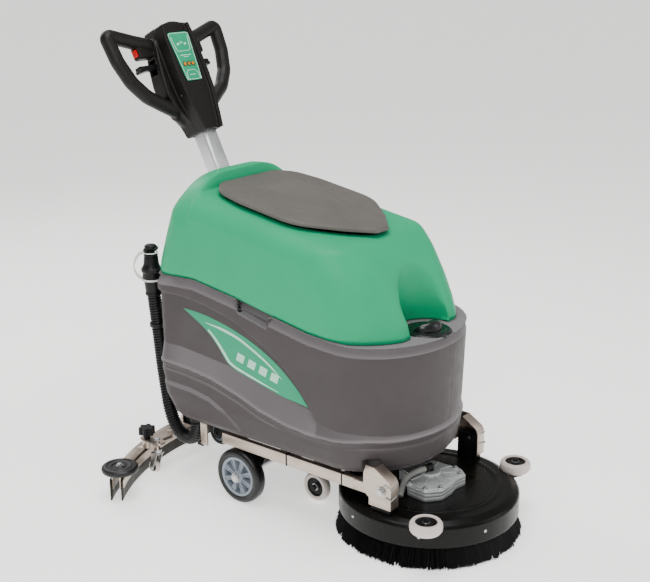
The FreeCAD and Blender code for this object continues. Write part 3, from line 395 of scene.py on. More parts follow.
def spline_points(route, name):
    """Points along the NURBS line whose control points are the route, in millimetres."""
    curve = bpy.data.curves.new(name, "CURVE")
    curve.dimensions = "3D"
    curve.resolution_u = 24
    spline = curve.splines.new("NURBS")
    spline.points.add(len(route) - 1)
    for point, place in zip(spline.points, route):
        point.co = (*to_row(*place), 1)
    spline.order_u = 3
    spline.use_endpoint_u = True
    holder = bpy.data.objects.new(name, curve)
    mesh = bpy.data.meshes.new_from_object(holder)
    line = [v.co.copy() for v in mesh.vertices]
    bpy.data.objects.remove(holder)
    return line


def resampled(line, step):
    """Evenly spaced points and their distances along a line of points."""
    lengths = [0.0]
    for a, b in zip(line, line[1:]):
        lengths.append(lengths[-1] + (b - a).length)
    total = lengths[-1]
    count = max(2, round(total / step))
    out, place, index = [], [], 0
    for k in range(count + 1):
        want = total * k / count
        while index < len(line) - 2 and lengths[index + 1] < want:
            index += 1
        span = max(lengths[index + 1] - lengths[index], 1e-9)
        t = min(max((want - lengths[index]) / span, 0), 1)
        out.append(line[index].lerp(line[index + 1], t))
        place.append(want)
    return out, place


def tube(line, radius_at, sides=24, squash=1.0):
    """A tube along points; radius_at gives its radius at a distance along the line."""
    tangent = (line[1] - line[0]).normalized()
    across = tangent.orthogonal().normalized()
    rows, travelled = [], 0.0
    for index, point in enumerate(line):
        if index:
            travelled += (point - line[index - 1]).length
        ahead = line[min(index + 1, len(line) - 1)] - line[max(index - 1, 0)]
        new_tangent = ahead.normalized()
        across = (tangent.rotation_difference(new_tangent) @ across).normalized()
        tangent = new_tangent
        other = tangent.cross(across)
        radius = radius_at(travelled)
        rows.append([tuple(point + (across * math.cos(a) + other * math.sin(a) * squash) * radius)
                     for a in (2 * math.pi * k / sides for k in range(sides))])
    return closed_loft(rows)


# ---- making pieces ----
def new_piece(name, mesh, body, finish, nodes=()):
    mesh.materials.clear()
    mesh.materials.append(FINISH[finish])
    obj = bpy.data.objects.new(name, mesh)
    bpy.context.scene.collection.objects.link(obj)
    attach(obj, body)
    if nodes:
        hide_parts(*nodes)
    return obj


def mesh_of(shape, name, in_metres=False):
    mesh = bpy.data.meshes.new(name)
    points = shape[0] if in_metres else [to_row(*p) for p in shape[0]]
    mesh.from_pydata(points, [], shape[1])
    work = bmesh.new()
    work.from_mesh(mesh)
    bmesh.ops.remove_doubles(work, verts=work.verts, dist=2e-6)
    bmesh.ops.dissolve_degenerate(work, edges=work.edges, dist=1e-6)
    bmesh.ops.recalc_face_normals(work, faces=work.faces)
    work.to_mesh(mesh)
    work.free()
    return mesh


def publish(name, shape, body, finish, nodes=(), sharp=38, in_metres=False):
    """One visible piece from a shape, riding on a body and standing for the nodes named."""
    mesh = mesh_of(shape, name, in_metres)
    mesh.shade_smooth()
    mesh.set_sharp_from_angle(angle=math.radians(sharp))
    return new_piece(name, mesh, body, finish, nodes)


SOFTEN_ROUNDS = 70


def smoothed(mesh, points, weight, rounds):
    """Draws every point towards the mean of its neighbours, by its own weight, again and again."""
    count = len(points)
    ends = np.zeros(len(mesh.edges) * 2, dtype=np.int64)
    mesh.edges.foreach_get("vertices", ends)
    a, b = ends.reshape(-1, 2).T
    near = np.bincount(a, minlength=count) + np.bincount(b, minlength=count)
    for _ in range(rounds):
        total = np.stack([np.bincount(a, points[b, k], count) + np.bincount(b, points[a, k], count)
                          for k in range(3)], 1)
        points = points + (total / near[:, None] - points) * weight[:, None]
    return points


def moulded(name, nodes, extra, voxel, rounds, body, finish, reshape=None, hide=True, soften=None):
    """One soft-edged moulding: copies of CAD nodes and further solids, joined and rounded over."""
    work = bmesh.new()
    for node in nodes:
        work.from_mesh(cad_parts[node].data)
    bmesh.ops.remove_doubles(work, verts=work.verts, dist=2e-6)
    for shape in extra:
        part = mesh_of(shape, name + "_part")
        work.from_mesh(part)
        bpy.data.meshes.remove(part)
    mesh = bpy.data.meshes.new(name)
    work.to_mesh(mesh)
    work.free()
    holder = bpy.data.objects.new(name + "_work", mesh)
    bpy.context.scene.collection.objects.link(holder)
    remesh = holder.modifiers.new("remesh", "REMESH")
    remesh.mode = "VOXEL"
    remesh.voxel_size = voxel * MM
    if rounds:
        smooth = holder.modifiers.new("smooth", "SMOOTH")
        smooth.factor = 0.5
        smooth.iterations = rounds
    graph = bpy.context.evaluated_depsgraph_get()
    result = bpy.data.meshes.new_from_object(holder.evaluated_get(graph))
    bpy.data.objects.remove(holder)
    if reshape:
        count = len(result.vertices)
        places = np.zeros(count * 3)
        normals = np.zeros(count * 3)
        result.vertices.foreach_get("co", places)
        result.vertex_normals.foreach_get("vector", normals)
        points = from_row(places.reshape(-1, 3))
        points = reshape(points, normals.reshape(-1, 3))
        if soften:
            points = smoothed(result, points, soften(points), SOFTEN_ROUNDS)
        points[:, 0] += BRUSH_X / MM
        result.vertices.foreach_set("co", (points * MM).ravel())
        result.update()
    result.shade_smooth()
    return new_piece(name, result, body, finish, nodes if hide else ())


def keep(node, finish, bevel=0.8, segments=2):
    """A CAD node that is shown as it is, with eased edges and its own finish."""
    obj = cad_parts[node]
    obj.data.materials.clear()
    obj.data.materials.append(FINISH[finish])
    weld = obj.modifiers.new("weld", "WELD")
    weld.merge_threshold = 5e-6
    if bevel:
        ease = obj.modifiers.new("ease", "BEVEL")
        ease.width = bevel * MM
        ease.segments = segments
        ease.limit_method = "ANGLE"
        ease.angle_limit = math.radians(35)
        ease.use_clamp_overlap = True
    obj.data.shade_smooth()
    obj.data.set_sharp_from_angle(angle=math.radians(38))
    return obj


def ease(value, low, high):
    """0 below low, 1 above high and a smooth step between."""
    t = np.clip((value - low) / (high - low), 0, 1)
    return t * t * (3 - 2 * t)


# ---- tanks ----
PARTING = [(-800, 592), (-714, 592), (-594, 597), (-443, 574), (-322, 550), (-212, 530), (-122, 524), (60, 522)]
WAVE_TOP = [(-760, 405), (-661, 401), (-593, 395), (-475, 384), (-384, 365), (-307, 346), (-216, 332),
            (-185, 312), (-124, 303), (-49, 300), (40, 292)]
WAVE_FOOT = [(-760, 354), (-626, 351), (-535, 342), (-437, 318), (-364, 294), (-276, 277), (-201, 272),
             (-124, 276), (-48, 284), (40, 280)]
PANEL_EDGE = [(-700, 545), (-620, 542), (-556, 535), (-458, 512), (-381, 479), (-310, 443), (-258, 402),
              (-216, 352), (-180, 300)]
REAR_ARCH = [(-760, 300), (-686, 300), (-611, 299), (-538, 288), (-480, 262), (-446, 235), (-415, 200)]
PANEL_DEEP = 17.0            # how far the decal's panel lies behind the lower band
NOSE_DEEP = 4.0              # the same for the nose and the rim
REAR_DEEP = 9.0              # the same for the panel at the rear corner
RIM_HEIGHT = 26.0            # sloping rim under the parting line
RIM_SLOPE = 12.0


def height_on(line, x):
    return np.interp(x, [p[0] for p in line], [p[1] for p in line])


def outward(points, normals):
    """Weight of each point of a side wall, and the level direction that leads out of the machine there."""
    level = normals.copy()
    level[:, 2] = 0
    length = np.linalg.norm(level, axis=1)
    level /= np.maximum(length, 1e-6)[:, None]
    arm = points.copy()
    arm[:, 0] -= np.clip(points[:, 0], -560, -140)
    arm[:, 2] = 0
    arm /= np.maximum(np.linalg.norm(arm, axis=1), 1e-6)[:, None]
    facing = (arm * level).sum(1)
    weight = ease(np.abs(facing), 0.3, 0.6) * ease(length, 0.2, 0.5)
    return weight, level * np.sign(facing)[:, None]


def shape_grey_tank(points, normals):
    """Presses the wave, the decal's recess and the rim under the parting line into both skins."""
    x, z = points[:, 0], points[:, 2]
    weight, out = outward(points, normals)
    skin = ease(np.abs(points[:, 1]), 190, 200) + ease(x, -70, -40)
    weight = weight * np.clip(skin, 0, 1)
    top = height_on(WAVE_TOP, x)
    foot = height_on(WAVE_FOOT, x)
    down = np.clip((top - z) / np.maximum(top - foot, 8), 0, 1)
    past_edge = np.maximum(ease(z - height_on(PANEL_EDGE, x), -3, 6), ease(x, -192, -176))
    deep = PANEL_DEEP * (1 - past_edge) + NOSE_DEEP * past_edge
    rear = 1 - ease(x, -715, -640)
    deep = deep * (1 - rear) + REAR_DEEP * rear * (1 - past_edge)
    offset = -deep * (1 - down)
    offset += 2.2 * np.exp(-((z - foot + 2) / 5.0) ** 2)
    offset -= 1.8 * np.exp(-((z - foot + 16) / 6.0) ** 2)
    arch = np.clip((height_on(REAR_ARCH, x) - z) / 12.0, 0, 1) * (1 - ease(x, -440, -415))
    offset += 4.0 * arch
    shoulder = np.clip((height_on(PARTING, x) - z) / RIM_HEIGHT, 0, 1)
    offset = offset * ease(shoulder, 0.0, 1.0) - RIM_SLOPE * (1 - shoulder)
    offset -= 4.0 * (1 - ease(z, 196, 214))
    offset += 0.8 * np.exp(-((points[:, 1] - 30) / 1.8) ** 2) * ease(x, 0, 20)
    return points + out * (offset * weight)[:, None]


def shape_green_tank(points, normals):
    """Draws the foot in by a little, so that it stands inside the lower tank's rim."""
    weight, out = outward(points, normals)
    rise = points[:, 2] - height_on(PARTING, points[:, 0])
    skin = np.clip(ease(np.abs(points[:, 1]), 190, 200) + ease(points[:, 0], -90, -60), 0, 1)
    offset = -4.5 * (1 - ease(rise, 0, 12)) * skin
    return points + out * (offset * weight)[:, None]


STEP_WALL = [  # height, half width behind the step of the crest and in front of it
    (742, 216, 219), (750, 213, 218), (760, 209, 217), (770, 204, 214), (780, 199, 208), (790, 193, 200),
    (798, 187, 193)]


def step_wall(side):
    """Closes the upper tank's thin skin beside the steep step behind the lid."""
    rows = []
    for x, column in ((-622, 1), (-602, 2)):
        outer = [(x, side * row[column], row[0]) for row in STEP_WALL]
        inner = [(x, side * (row[column] - 6), row[0]) for row in reversed(STEP_WALL)]
        rows.append(outer + inner)
    return closed_loft(rows)


def soft_corners(points):
    """Where the upper tank's shoulders are rounded off further: towards the nose, clear of the foot."""
    return 0.7 * ease(points[:, 0], -330, -230) * ease(points[:, 2], 560, 610)


def make_tanks():
    grey = moulded("lower_tank_shell", ["solution_tank"], [], 3.0, 3, "chassis", "tank_grey", shape_grey_tank)
    moulded("upper_tank_shell", ["recovery_tank"], [step_wall(1), step_wall(-1)], 3.0, 4, "upper_tank",
            "tank_green", shape_green_tank, soften=soft_corners)
    make_decals(grey)
    keep("batteries", "battery", 3.0)
    keep("vacuum_motor", "motor", 1.5)
    keep("lid_hinge_pin", "zinc", 0.5)
    keep("lid_seal", "rubber_disc", 0.5)
    make_lid()
    make_cap()


LEAF_TOP = [(-639, 510), (-583, 508), (-528, 501), (-442, 481), (-359, 449), (-295, 411), (-247, 370),
            (-217, 336)]
LEAF_FOOT = [(-639, 510), (-559, 467), (-514, 427), (-475, 386), (-390, 364), (-307, 346), (-262, 341),
             (-217, 336)]


def patch(surface, side, upper, lower, lift, across=10, per=8):
    """A thin film between two lines on the tank's side, laid on its surface."""
    top = curve_through([(x, 0, z) for x, z in upper], per)
    foot = curve_through([(x, 0, z) for x, z in lower], per)
    rows = []
    for k in range(across + 1):
        rows.append([])
        for a, b in zip(top, foot):
            p = a.lerp(b, k / across)
            start = to_row(p.x, side * 300, p.z)
            hit = surface.ray_cast(start, Vector((0, -side, 0)))[0]
            rows[-1].append(hit + Vector((0, side * lift * MM, 0)))
    front = sheet_of(rows)
    back = [tuple(Vector(p) - Vector((0, side * 1.0 * MM, 0))) for p in front[0]]
    count, width = len(front[0]), len(top)
    faces = list(front[1]) + [tuple(count + i for i in reversed(f)) for f in front[1]]
    height = across + 1
    border = [c for c in range(width)] + [r * width + width - 1 for r in range(1, height)]
    border += [(height - 1) * width + c for c in range(width - 2, -1, -1)]
    border += [r * width for r in range(height - 2, 0, -1)]
    for a, b in zip(border, border[1:] + border[:1]):
        faces.append((b, a, count + a, count + b))
    return list(front[0]) + back, faces


def between(upper, lower, t):
    return [(a[0] + (b[0] - a[0]) * t, a[1] + (b[1] - a[1]) * t) for a, b in zip(upper, lower)]


def make_decals(tank):
    """A green leaf with pale stripes on each side of the lower tank; plain bars stand for its lettering."""
    surface = BVHTree.FromObject(tank, bpy.context.evaluated_depsgraph_get())
    for side, name in ((-1, "right"), (1, "left")):
        nodes = ["side_decals"] if side < 0 else []
        leaf = patch(surface, side, LEAF_TOP, LEAF_FOOT, 0.5)
        publish("decal_leaf_" + name, leaf, "chassis", "decal_green", nodes, in_metres=True)
        stripes = [
            patch(surface, side, [(-560, 487), (-500, 483), (-443, 470), (-382, 443), (-338, 419), (-300, 390)],
                  [(-560, 486), (-500, 476), (-443, 462), (-382, 436), (-338, 413), (-300, 389)], 0.9, 3),
            patch(surface, side, [(-548, 470), (-520, 448), (-492, 418), (-466, 393), (-390, 372), (-312, 353)],
                  [(-553, 468), (-526, 444), (-499, 413), (-470, 387), (-392, 367), (-312, 352)], 0.9, 3),
        ]
        for bar in range(4):
            x = -455 + bar * 38
            z = 414 - bar * 9
            stripes.append(patch(surface, side, [(x + 8, z + 15), (x + 20, z + 12), (x + 32, z + 9)],
                                 [(x, z - 7), (x + 12, z - 10), (x + 24, z - 13)], 0.9, 3, 3))
        publish("decal_stripes_" + name, merged(*stripes), "chassis", "decal_light",
                in_metres=True)


LID_HALF = [(-599, 105), (-562, 152), (-480, 168), (-300, 168), (-205, 88), (-150, 25)]
LID_BENDS = [52, 70, 200, 120, 200, 24]
LID_SLOPE = 0.17


def lid_plane(x):
    return 753.0 + (-148.0 - x) * LID_SLOPE


LID_MARK = 6.5               # height of the raised field on the lid
MARK_LINE = [(-520, -58), (-448, -74), (-403, -74), (-352, -70), (-311, -60), (-284, -42), (-250, -6)]


def lid_mark(x, y):
    """A raised field whose near edge is one long, curved slope that fades out towards both ends."""
    rise = ease(y - height_on(MARK_LINE, x), -24, 20)
    ends = ease(x, -520, -430) * (1 - ease(x, -300, -235))
    return rise * ends * (1 - ease(y, 0, 120))


def evenly(outline, step):
    """The closed outline with further points on its long edges, no more than a step apart."""
    result = []
    for a, b in zip(outline, outline[1:] + outline[:1]):
        count = max(1, math.ceil(math.dist(a, b) / step))
        result += [(a[0] + (b[0] - a[0]) * k / count, a[1] + (b[1] - a[1]) * k / count) for k in range(count)]
    return result


def make_lid():
    """The lid: a crowned plate with a turned-down edge and a raised, spoon-shaped hand mark."""
    corners = [(x, -y) for x, y in LID_HALF] + LID_HALF[::-1]
    outline = evenly(rounded(corners, LID_BENDS + LID_BENDS[::-1], steps=12), 7.0)
    centre = Vector((-390, 0))
    drop = [(1.0, -4.0), (1.0, -1.0), (0.995, 2.2), (0.985, 4.4), (0.968, 5.6), (0.94, 6.4), (0.90, 7.2)]
    drop += [(0.90 - 0.9 * k / 60, None) for k in range(1, 61)]
    rows = []
    for inset, height in drop:
        line = []
        for x, y in outline:
            px = centre.x + (x - centre.x) * inset
            py = centre.y + (y - centre.y) * inset
            if height is None:
                crown = 7.2 + 6.0 * (1 - (inset / 0.9) ** 2)
                up = crown + LID_MARK * float(lid_mark(px, py))
            else:
                up = height
            line.append((px, py, lid_plane(px) + up))
        rows.append(line)
    shape = closed_loft(rows)
    under = []
    for inset, z in ((0.998, -4.0), (0.97, -4.0), (0.965, 0.5), (0.5, 2.0)):
        flat = [(centre.x + (x - centre.x) * inset, y * inset) for x, y in outline]
        under.append([(x, y, lid_plane(x) + z) for x, y in flat])
    skirt = sheet_of(under, loop=True)
    knuckles = []
    for y in (-70, -15, 40):
        barrel = lathe([(0, 0), (7, 0), (7, 30), (0, 30)], 24, 1.0)
        knuckles.append(pointing(barrel, (0, 1, 0), (-592, y, 826)))
    publish("lid_shell", merged(shape, skirt, *knuckles), "lid", "lid_grey", ["tank_lid"], sharp=50)


def make_cap():
    """The filler cap: a ringed, nearly flush disc with a curved, raised finger grip on one half."""
    disc = lathe([(0, 1), (52, 1), (53, 0), (61, 0), (62.5, 2), (62, 6), (59, 7.5), (57.5, 9.5), (54, 11),
                  (48, 10.2), (45, 11.4), (20, 12.2), (0, 12.4)], 96, 0.8)
    rows = []
    for t in np.linspace(0, 1, 25):
        angle = math.radians(-62 + 124 * t)
        reach = 17 + 15 * math.sin(math.pi * t)
        height = 8 + 17 * math.sin(math.pi * t) ** 0.6
        centre = Vector((2 + 30 * math.cos(angle) - 20, 44 * math.sin(angle), 8))
        ring = []
        for a in np.linspace(0, 2 * math.pi, 20, endpoint=False):
            up = height * math.sin(a) ** 0.8 if math.sin(a) > 0 else -2
            ring.append(tuple(centre + Vector((reach * 0.62 * math.cos(a), reach * 0.2 * math.cos(a), up))))
        rows.append(ring)
    publish("filler_cap", shifted(merged(disc, closed_loft(rows)), -14, 0, 515.5), "fill_cap", "cap_black",
            ["fill_cap"], sharp=60)


# ---- handle ----
def strip_along(outer, inner, x0, x1, side):
    """A rail on the console's face between two lines of (half width, height), side 1 or -1."""
    ring = [(side * y, s) for y, s in outer] + [(side * y, s) for y, s in reversed(inner)]
    return closed_loft([[(x0, y, s) for y, s in ring], [(x1, y, s) for y, s in ring]])


def thicken_grips(points, normals):
    """Gives back to the grips what smoothing took from them, and a little more."""
    return points + normals * (2.6 * ease(np.abs(points[:, 1]), 56, 74))[:, None]


def make_console():
    """The console and both loop grips, one clam-shell moulding with rails, a domed top and a soft chin."""
    outer = [(33, 44), (41, 80), (55, 150), (58, 200), (56, 300), (50, 346)]
    inner = [(21, 44), (29, 80), (42, 150), (45, 200), (44, 300), (38, 346)]
    extra = []
    for side in (-1, 1):
        extra.append(handle(strip_along(outer, inner, 10, 45, side)))
        for s, y, reach in ((98, 40, 66), (300, 52, 92)):
            flare = [(t, 24 - 8 * t) for t in (0.0, 0.35, 0.7, 1.0)]
            rows = [[(-20 + radius * 0.9 * math.cos(a), side * (y + (reach - y) * t),
                      s + radius * math.sin(a) + 18 * t)
                     for a in np.linspace(0, 2 * math.pi, 16, endpoint=False)] for t, radius in flare]
            extra.append(handle(closed_loft(rows)))
    dome = [(-50 * math.cos(a), 332 + 24 * math.sin(a)) for a in np.linspace(0, math.pi, 17)]
    dome = [(-50, 318)] + dome + [(50, 318)]
    extra.append(handle(closed_loft([[(x, y, s) for y, s in dome] for x in (-38, 34)])))
    nodes = ["console_housing", "grip_right", "grip_left"]
    moulded("console_shell", nodes, extra, 1.8, 12, "chassis", "console_black", thicken_grips)
    screws = []
    for side in (-1, 1):
        screws.append(handle(pointing(dome_screw(5, 2.6), (0, side, 0), (22, side * 52.5, 152))))
        screws.append(handle(pointing(dome_screw(5, 2.6), (0, side, 0), (24, side * 53, 262))))
    publish("console_screws", merged(*screws), "chassis", "zinc")
    make_panel()
    make_controls()
    keep("handle_column", "column_alu", 0)


def panel_line(points, x):
    """A thin raised line on the panel through points of (y, s)."""
    path = curve_through([(x, y, s) for y, s in points], 6)
    return tube(path, lambda distance: 0.9, 8)


def make_panel():
    outline = rounded([(-40, 322), (-28, 184), (28, 184), (40, 322)], [12, 10, 10, 12], steps=8)
    plate = closed_loft([[(36, y, s) for y, s in outline], [(38.4, y, s) for y, s in outline]])
    publish("panel_film", handle(beveled(plate, 0.7)), "chassis", "panel_green", ["console_panel"])
    face = 38.5
    inset = rounded([(-37, 319), (-25.5, 187), (25.5, 187), (37, 319)], [10, 8, 8, 10], steps=6)
    marks = [panel_line(inset + inset[:1], face),
             panel_line(rounded([(-31, 310), (-24, 268), (24, 268), (31, 310)], 9, closed=False, steps=5), face),
             panel_line(rounded([(-22, 190), (-20, 205), (-12, 213), (12, 213), (20, 205), (22, 190)], 5,
                                closed=False), face)]
    for y0, y1, s in ((-20, 20, 256), (-9, 9, 251), (-11, 11, 200)):
        marks.append(block(face - 0.5, face + 0.4, y0, y1, s - 0.9, s + 0.9, 0.2))
    for k in range(3):
        low, high = 285 + k % 2 * 5, 291 + k % 2 * 3
        marks.append(block(face - 0.5, face + 0.4, -17 + k * 13, -9 + k * 13, low, high, 0.2))
    publish("panel_marks", handle(merged(*marks)), "chassis", "decal_light")
    lamp = lathe([(0, 0), (5.2, 0), (5.2, 1.2), (3.6, 2.4), (0, 2.9)], 24, 0.4)
    bezel = lathe_closed([(5.0, 0), (6.6, 0), (6.6, 1.4), (5.0, 1.4)], 24, 0.3)
    lamps, bezels = [], []
    for y in (-15, 0, 15):
        lamps.append(handle(pointing(lamp, (1, 0, 0), (face - 0.2, y, 231))))
        bezels.append(handle(pointing(bezel, (1, 0, 0), (face - 0.2, y, 231))))
    publish("panel_lamps", merged(*lamps), "chassis", "led_amber")
    publish("panel_bezels", merged(*bezels), "chassis", "console_black")


def make_controls():
    for side, name in ((-1, "right"), (1, "left")):
        low_y, high_y = min(side * 108, side * 124), max(side * 108, side * 124)
        ribs = [block(-26, -10, low_y, high_y - 1 if side > 0 else high_y, 283, 303, 1.6)]
        for k in range(4):
            y = side * 124
            ribs.append(block(-25, -11, y - 1.2, y + 1.2, 285.5 + k * 4.6, 287.9 + k * 4.6, 0.6))
        finish = "button_red" if side < 0 else "knob_black"
        publish("rocker_" + name, handle(merged(*ribs)), "button_" + name, finish, ["power_button_" + name])
        blade = rounded([(70, 244), (100, 243), (131, 238), (133, 246), (104, 255), (70, 256)],
                        [2, 8, 3, 3, 8, 2])
        lever = closed_loft([[(x, side * y, s) for y, s in blade] for x in (-31, -9)])
        moulded("drive_paddle_" + name, ["paddle_" + name], [handle(lever)], 1.0, 4, "paddle_" + name,
                "knob_black")


# ---- wheels ----
def make_wheels():
    tread = [(54.5, 3), (57, 1), (66, 0), (71, 2.5), (74, 7), (75, 12), (75, 24), (74, 29), (71, 33.5), (66, 36),
             (57, 35), (54.5, 33)]
    for side, name in ((-1, "right"), (1, "left")):
        low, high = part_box("tyre_" + name)
        face = (low if side < 0 else high).y / MM
        rim_low, rim_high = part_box("rim_" + name)
        x = (rim_low.x + rim_high.x) / 2 / MM - BRUSH_X / MM
        z = (rim_low.z + rim_high.z) / 2 / MM

        def place(shape):
            return pointing(shape, (0, -side, 0), (x, face, z))

        tyre = [lathe_closed(tread, 96, 1.5)]
        publish("tyre_tread_" + name, place(merged(*tyre)), "wheel_" + name, "tyre", ["tyre_" + name], sharp=50)
        bead = lathe_closed([(59, 0.6), (62, -0.3), (63, 0.9), (60, 2.0)], 96, 0.4)
        publish("tyre_bead_" + name, place(bead),
                "wheel_" + name, "tyre")
        publish("wheel_spokes_" + name, place(wheel_rim()), "wheel_" + name, "rim_grey", ["rim_" + name])
    for node, body in (("support_roller_right", "support_right"), ("support_roller_left", "support_left")):
        make_roller(node, body, (0, -1 if "right" in node else 1, 0))
    for node, body in (("bumper_roller_right", "bumper_right"), ("bumper_roller_left", "bumper_left")):
        make_roller(node, body, (0, 0, 1))
    make_roller("rear_wheel", "rear_wheel", (0, -1, 0), "tyre", "rim_grey")
    keep("wheel_axle", "zinc", 1.0)


def wheel_rim():
    """A spoked rim, outer face at z 0: an outer ring, eight flared ribbed spokes and a hub."""
    parts = [lathe_closed([(47, 2), (54.8, 1), (54.8, 35), (47, 34)], 96, 1.2),
             lathe_closed([(9, -1.5), (16, -1.5), (18, 4), (18, 32), (9, 33)], 48, 1.2),
             lathe_closed([(14, 19), (52, 19), (52, 22), (14, 22)], 96, 0.6)]
    for k in range(8):
        spoke = rounded([(14, -4.2), (32, -4.6), (49, -8.4), (49, 8.4), (32, 4.6), (14, 4.2)], 2)
        slot = [(22, -1.0), (46, -3.2), (46, 3.2), (22, 1.0)]
        parts.append(spun(prism(spoke, 5, 30, 1.2), 45 * k + 22.5))
        for sign in (-1, 1):
            ridge = [(18, sign * 2.0), (45, sign * 4.0), (45, sign * 7.0), (18, sign * 3.8)]
            parts.append(spun(prism(ridge, 2.6, 8, 0.5), 45 * k + 22.5))
        parts.append(spun(prism(slot, 4.6, 5.4, 0.2), 45 * k + 22.5))
    return merged(*parts)


def make_roller(node, body, axis, tread_finish="roller", hub_finish="roller_hub"):
    """A roller: a rounded tread ring and a dished hub, from its CAD node's own size."""
    low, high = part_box(node)
    size = (high - low) / MM
    centre = from_row([tuple((low + high) / 2)])[0]
    axis = Vector(axis)
    width = abs(axis.y) * size.y + abs(axis.z) * size.z
    radius = max(size) / 2
    half = width / 2
    hub = radius * 0.66
    ring = lathe_closed([(hub, -half + 2), (hub + 1, -half + 0.5), (radius - 5, -half), (radius - 0.8, -half + 6),
                         (radius, 0), (radius - 0.8, half - 6), (radius - 5, half), (hub + 1, half - 0.5),
                         (hub, half - 2)], 72, 2.0)
    dish = lathe_closed([(4.2, half - 4), (9, half - 4), (11, half - 6.5), (hub - 4, half - 6), (hub - 2, half - 3),
                         (hub + 0.2, half - 3), (hub + 0.2, -half + 3), (hub - 2, -half + 3), (hub - 4, -half + 6),
                         (11, -half + 6.5), (9, -half + 4), (4.2, -half + 4)], 72, 0.7)
    publish(node + "_tread", pointing(ring, axis, centre), body, tread_finish, [node])
    publish(node + "_hub", pointing(dish, axis, centre), body, hub_finish)


# ---- frame and deck ----
def make_frame():
    for node in ("rail_right", "rail_left", "deck_hanger_right", "deck_hanger_left"):
        keep(node, "stainless", 1.0)
    keep("chassis_frame", "frame_black", 1.2)
    keep("wheel_brackets", "frame_black", 1.0)
    keep("pivot_bolts", "zinc", 0.6)
    keep("deck_brackets", "frame_black", 1.2)
    bolts, bands = [], []
    for side in (-1, 1):
        out = (0, side, 0)
        bolts.append(pointing(hex_bolt(15, 6.5, 1.5), out, (4, side * 213.2, 175)))
        bolts.append(pointing(hex_bolt(17, 7.0, 2.5), out, (-463, side * 217.6, 75)))
        bolts.append(pointing(hex_bolt(13, 5.5, 1.4), out, (-300, side * 88, 46)))
        for x in (-297, -119):
            bands.append(block(x - 1.8, x + 1.8, side * 200 - 9.2, side * 200 + 9.2, 152.6, 185.2, 0.6))
    publish("frame_bolts", merged(*bolts), "chassis", "zinc")
    publish("rail_bands", merged(*bands), "chassis", "fitting_black")
    make_hanger_details()


def make_hanger_details():
    """The wire bail and the folded front lip of each hanger."""
    wires = []
    for side in (-1, 1):
        path = [Vector(p) for p in ((16, side * 216, 163), (32, side * 216, 160), (34, side * 212, 159.5),
                                    (34, side * 194, 164), (30, side * 188, 166))]
        wires.append(tube(curve_through(path, 6), lambda distance: 1.7, 10))
        path = [Vector(p) for p in ((12, side * 215, 196), (29, side * 215, 190), (33, side * 211, 189),
                                    (33, side * 197, 191))]
        wires.append(tube(curve_through(path, 6), lambda distance: 1.7, 10))
    publish("hanger_wires", merged(*wires), "chassis", "zinc")
    stays = [block(-602, -578, y - 3, y + 3, 128, 192, 1.5) for y in (-204, 204)]
    publish("tank_stays", merged(*stays), "chassis", "stainless")


def shape_deck(points, normals):
    """A low ring round the top of the deck."""
    radius = np.hypot(points[:, 0], points[:, 1])
    top = ease(normals[:, 2], 0.6, 0.9) * ease(points[:, 2], 112, 117)
    lift = 1.8 * ease(radius, 168, 172) * (1 - ease(radius, 180, 184))
    points[:, 2] += top * lift
    return points


GEARBOX = [(-66, 60), (58, 62), (86, 38), (80, 4), (86, -26), (86, -70), (58, -104), (-2, -98), (-10, -52),
           (-66, -42)]


def make_deck():
    moulded("deck_shell", ["deck_housing"], [], 2.5, 2, "deck", "deck_black", shape_deck)
    outline = rounded(GEARBOX, [10, 12, 10, 14, 12, 14, 14, 12, 12, 10], steps=5)
    inset = rounded([(x * 0.965, y * 0.965) for x, y in GEARBOX], 10, steps=5)
    case = [prism(outline, 119.4, 131, 1.6), prism(inset, 130, 133, 0.4), prism(outline, 132, 140, 1.4)]
    publish("gearbox_case", merged(*case), "deck", "cast_alu", ["gearbox_lower"])
    top = rounded([(x * 0.93, y * 0.93) for x, y in GEARBOX], 12)
    cover = [prism(outline, 141.4, 147, 1.4), prism(top, 146, 150, 1.6),
             shifted(lathe([(0, 148), (30, 148), (27, 156), (0, 157)], 64, 2.0), 8, -8, 0)]
    for k in range(7):
        angle = math.radians(-100 + k * 34)
        rib = block(30, 66, -1.8, 1.8, 148.5, 152, 0.9)
        cover.append(shifted(spun(rib, math.degrees(angle)), 8, -8, 0))
    for x, y in ((72, 30), (76, -64), (50, -94), (2, -90), (-50, 50), (46, 52)):
        cover.append(shifted(lathe([(0, 141), (8, 141), (8, 151), (0, 151)], 32, 1.0), x, y, 0))
    publish("gearbox_lid", merged(*cover), "deck", "cast_alu", ["gearbox_cover"])
    bolts = [shifted(hex_bolt(8, 3.4, 0.8), x, y, 151)
             for x, y in ((72, 30), (76, -64), (50, -94), (2, -90), (-50, 50), (46, 52))]
    for side in (-1, 1):
        bolts.append(shifted(hex_bolt(12, 5, 1.5), 131, side * 208, 134.5))
    rivets = []
    for angle in (-62, -20, 20, 62, 110, -110, 150, -150):
        a = math.radians(angle)
        out = (math.cos(a), math.sin(a), 0)
        rivets.append(pointing(dome_screw(4.2, 2.0), out, (228.8 * out[0], 228.8 * out[1], 84)))
    publish("deck_bolts", merged(*bolts, *rivets), "deck", "zinc")
    motor = lathe([(0, 0), (44, 0), (44, 4), (42, 6), (42, 50), (44, 52), (44, 57), (36, 62), (0, 62)], 72, 1.0)
    publish("brush_motor_can", shifted(motor, -70, 48, 119.6), "deck", "motor", ["brush_motor"])
    make_brush()


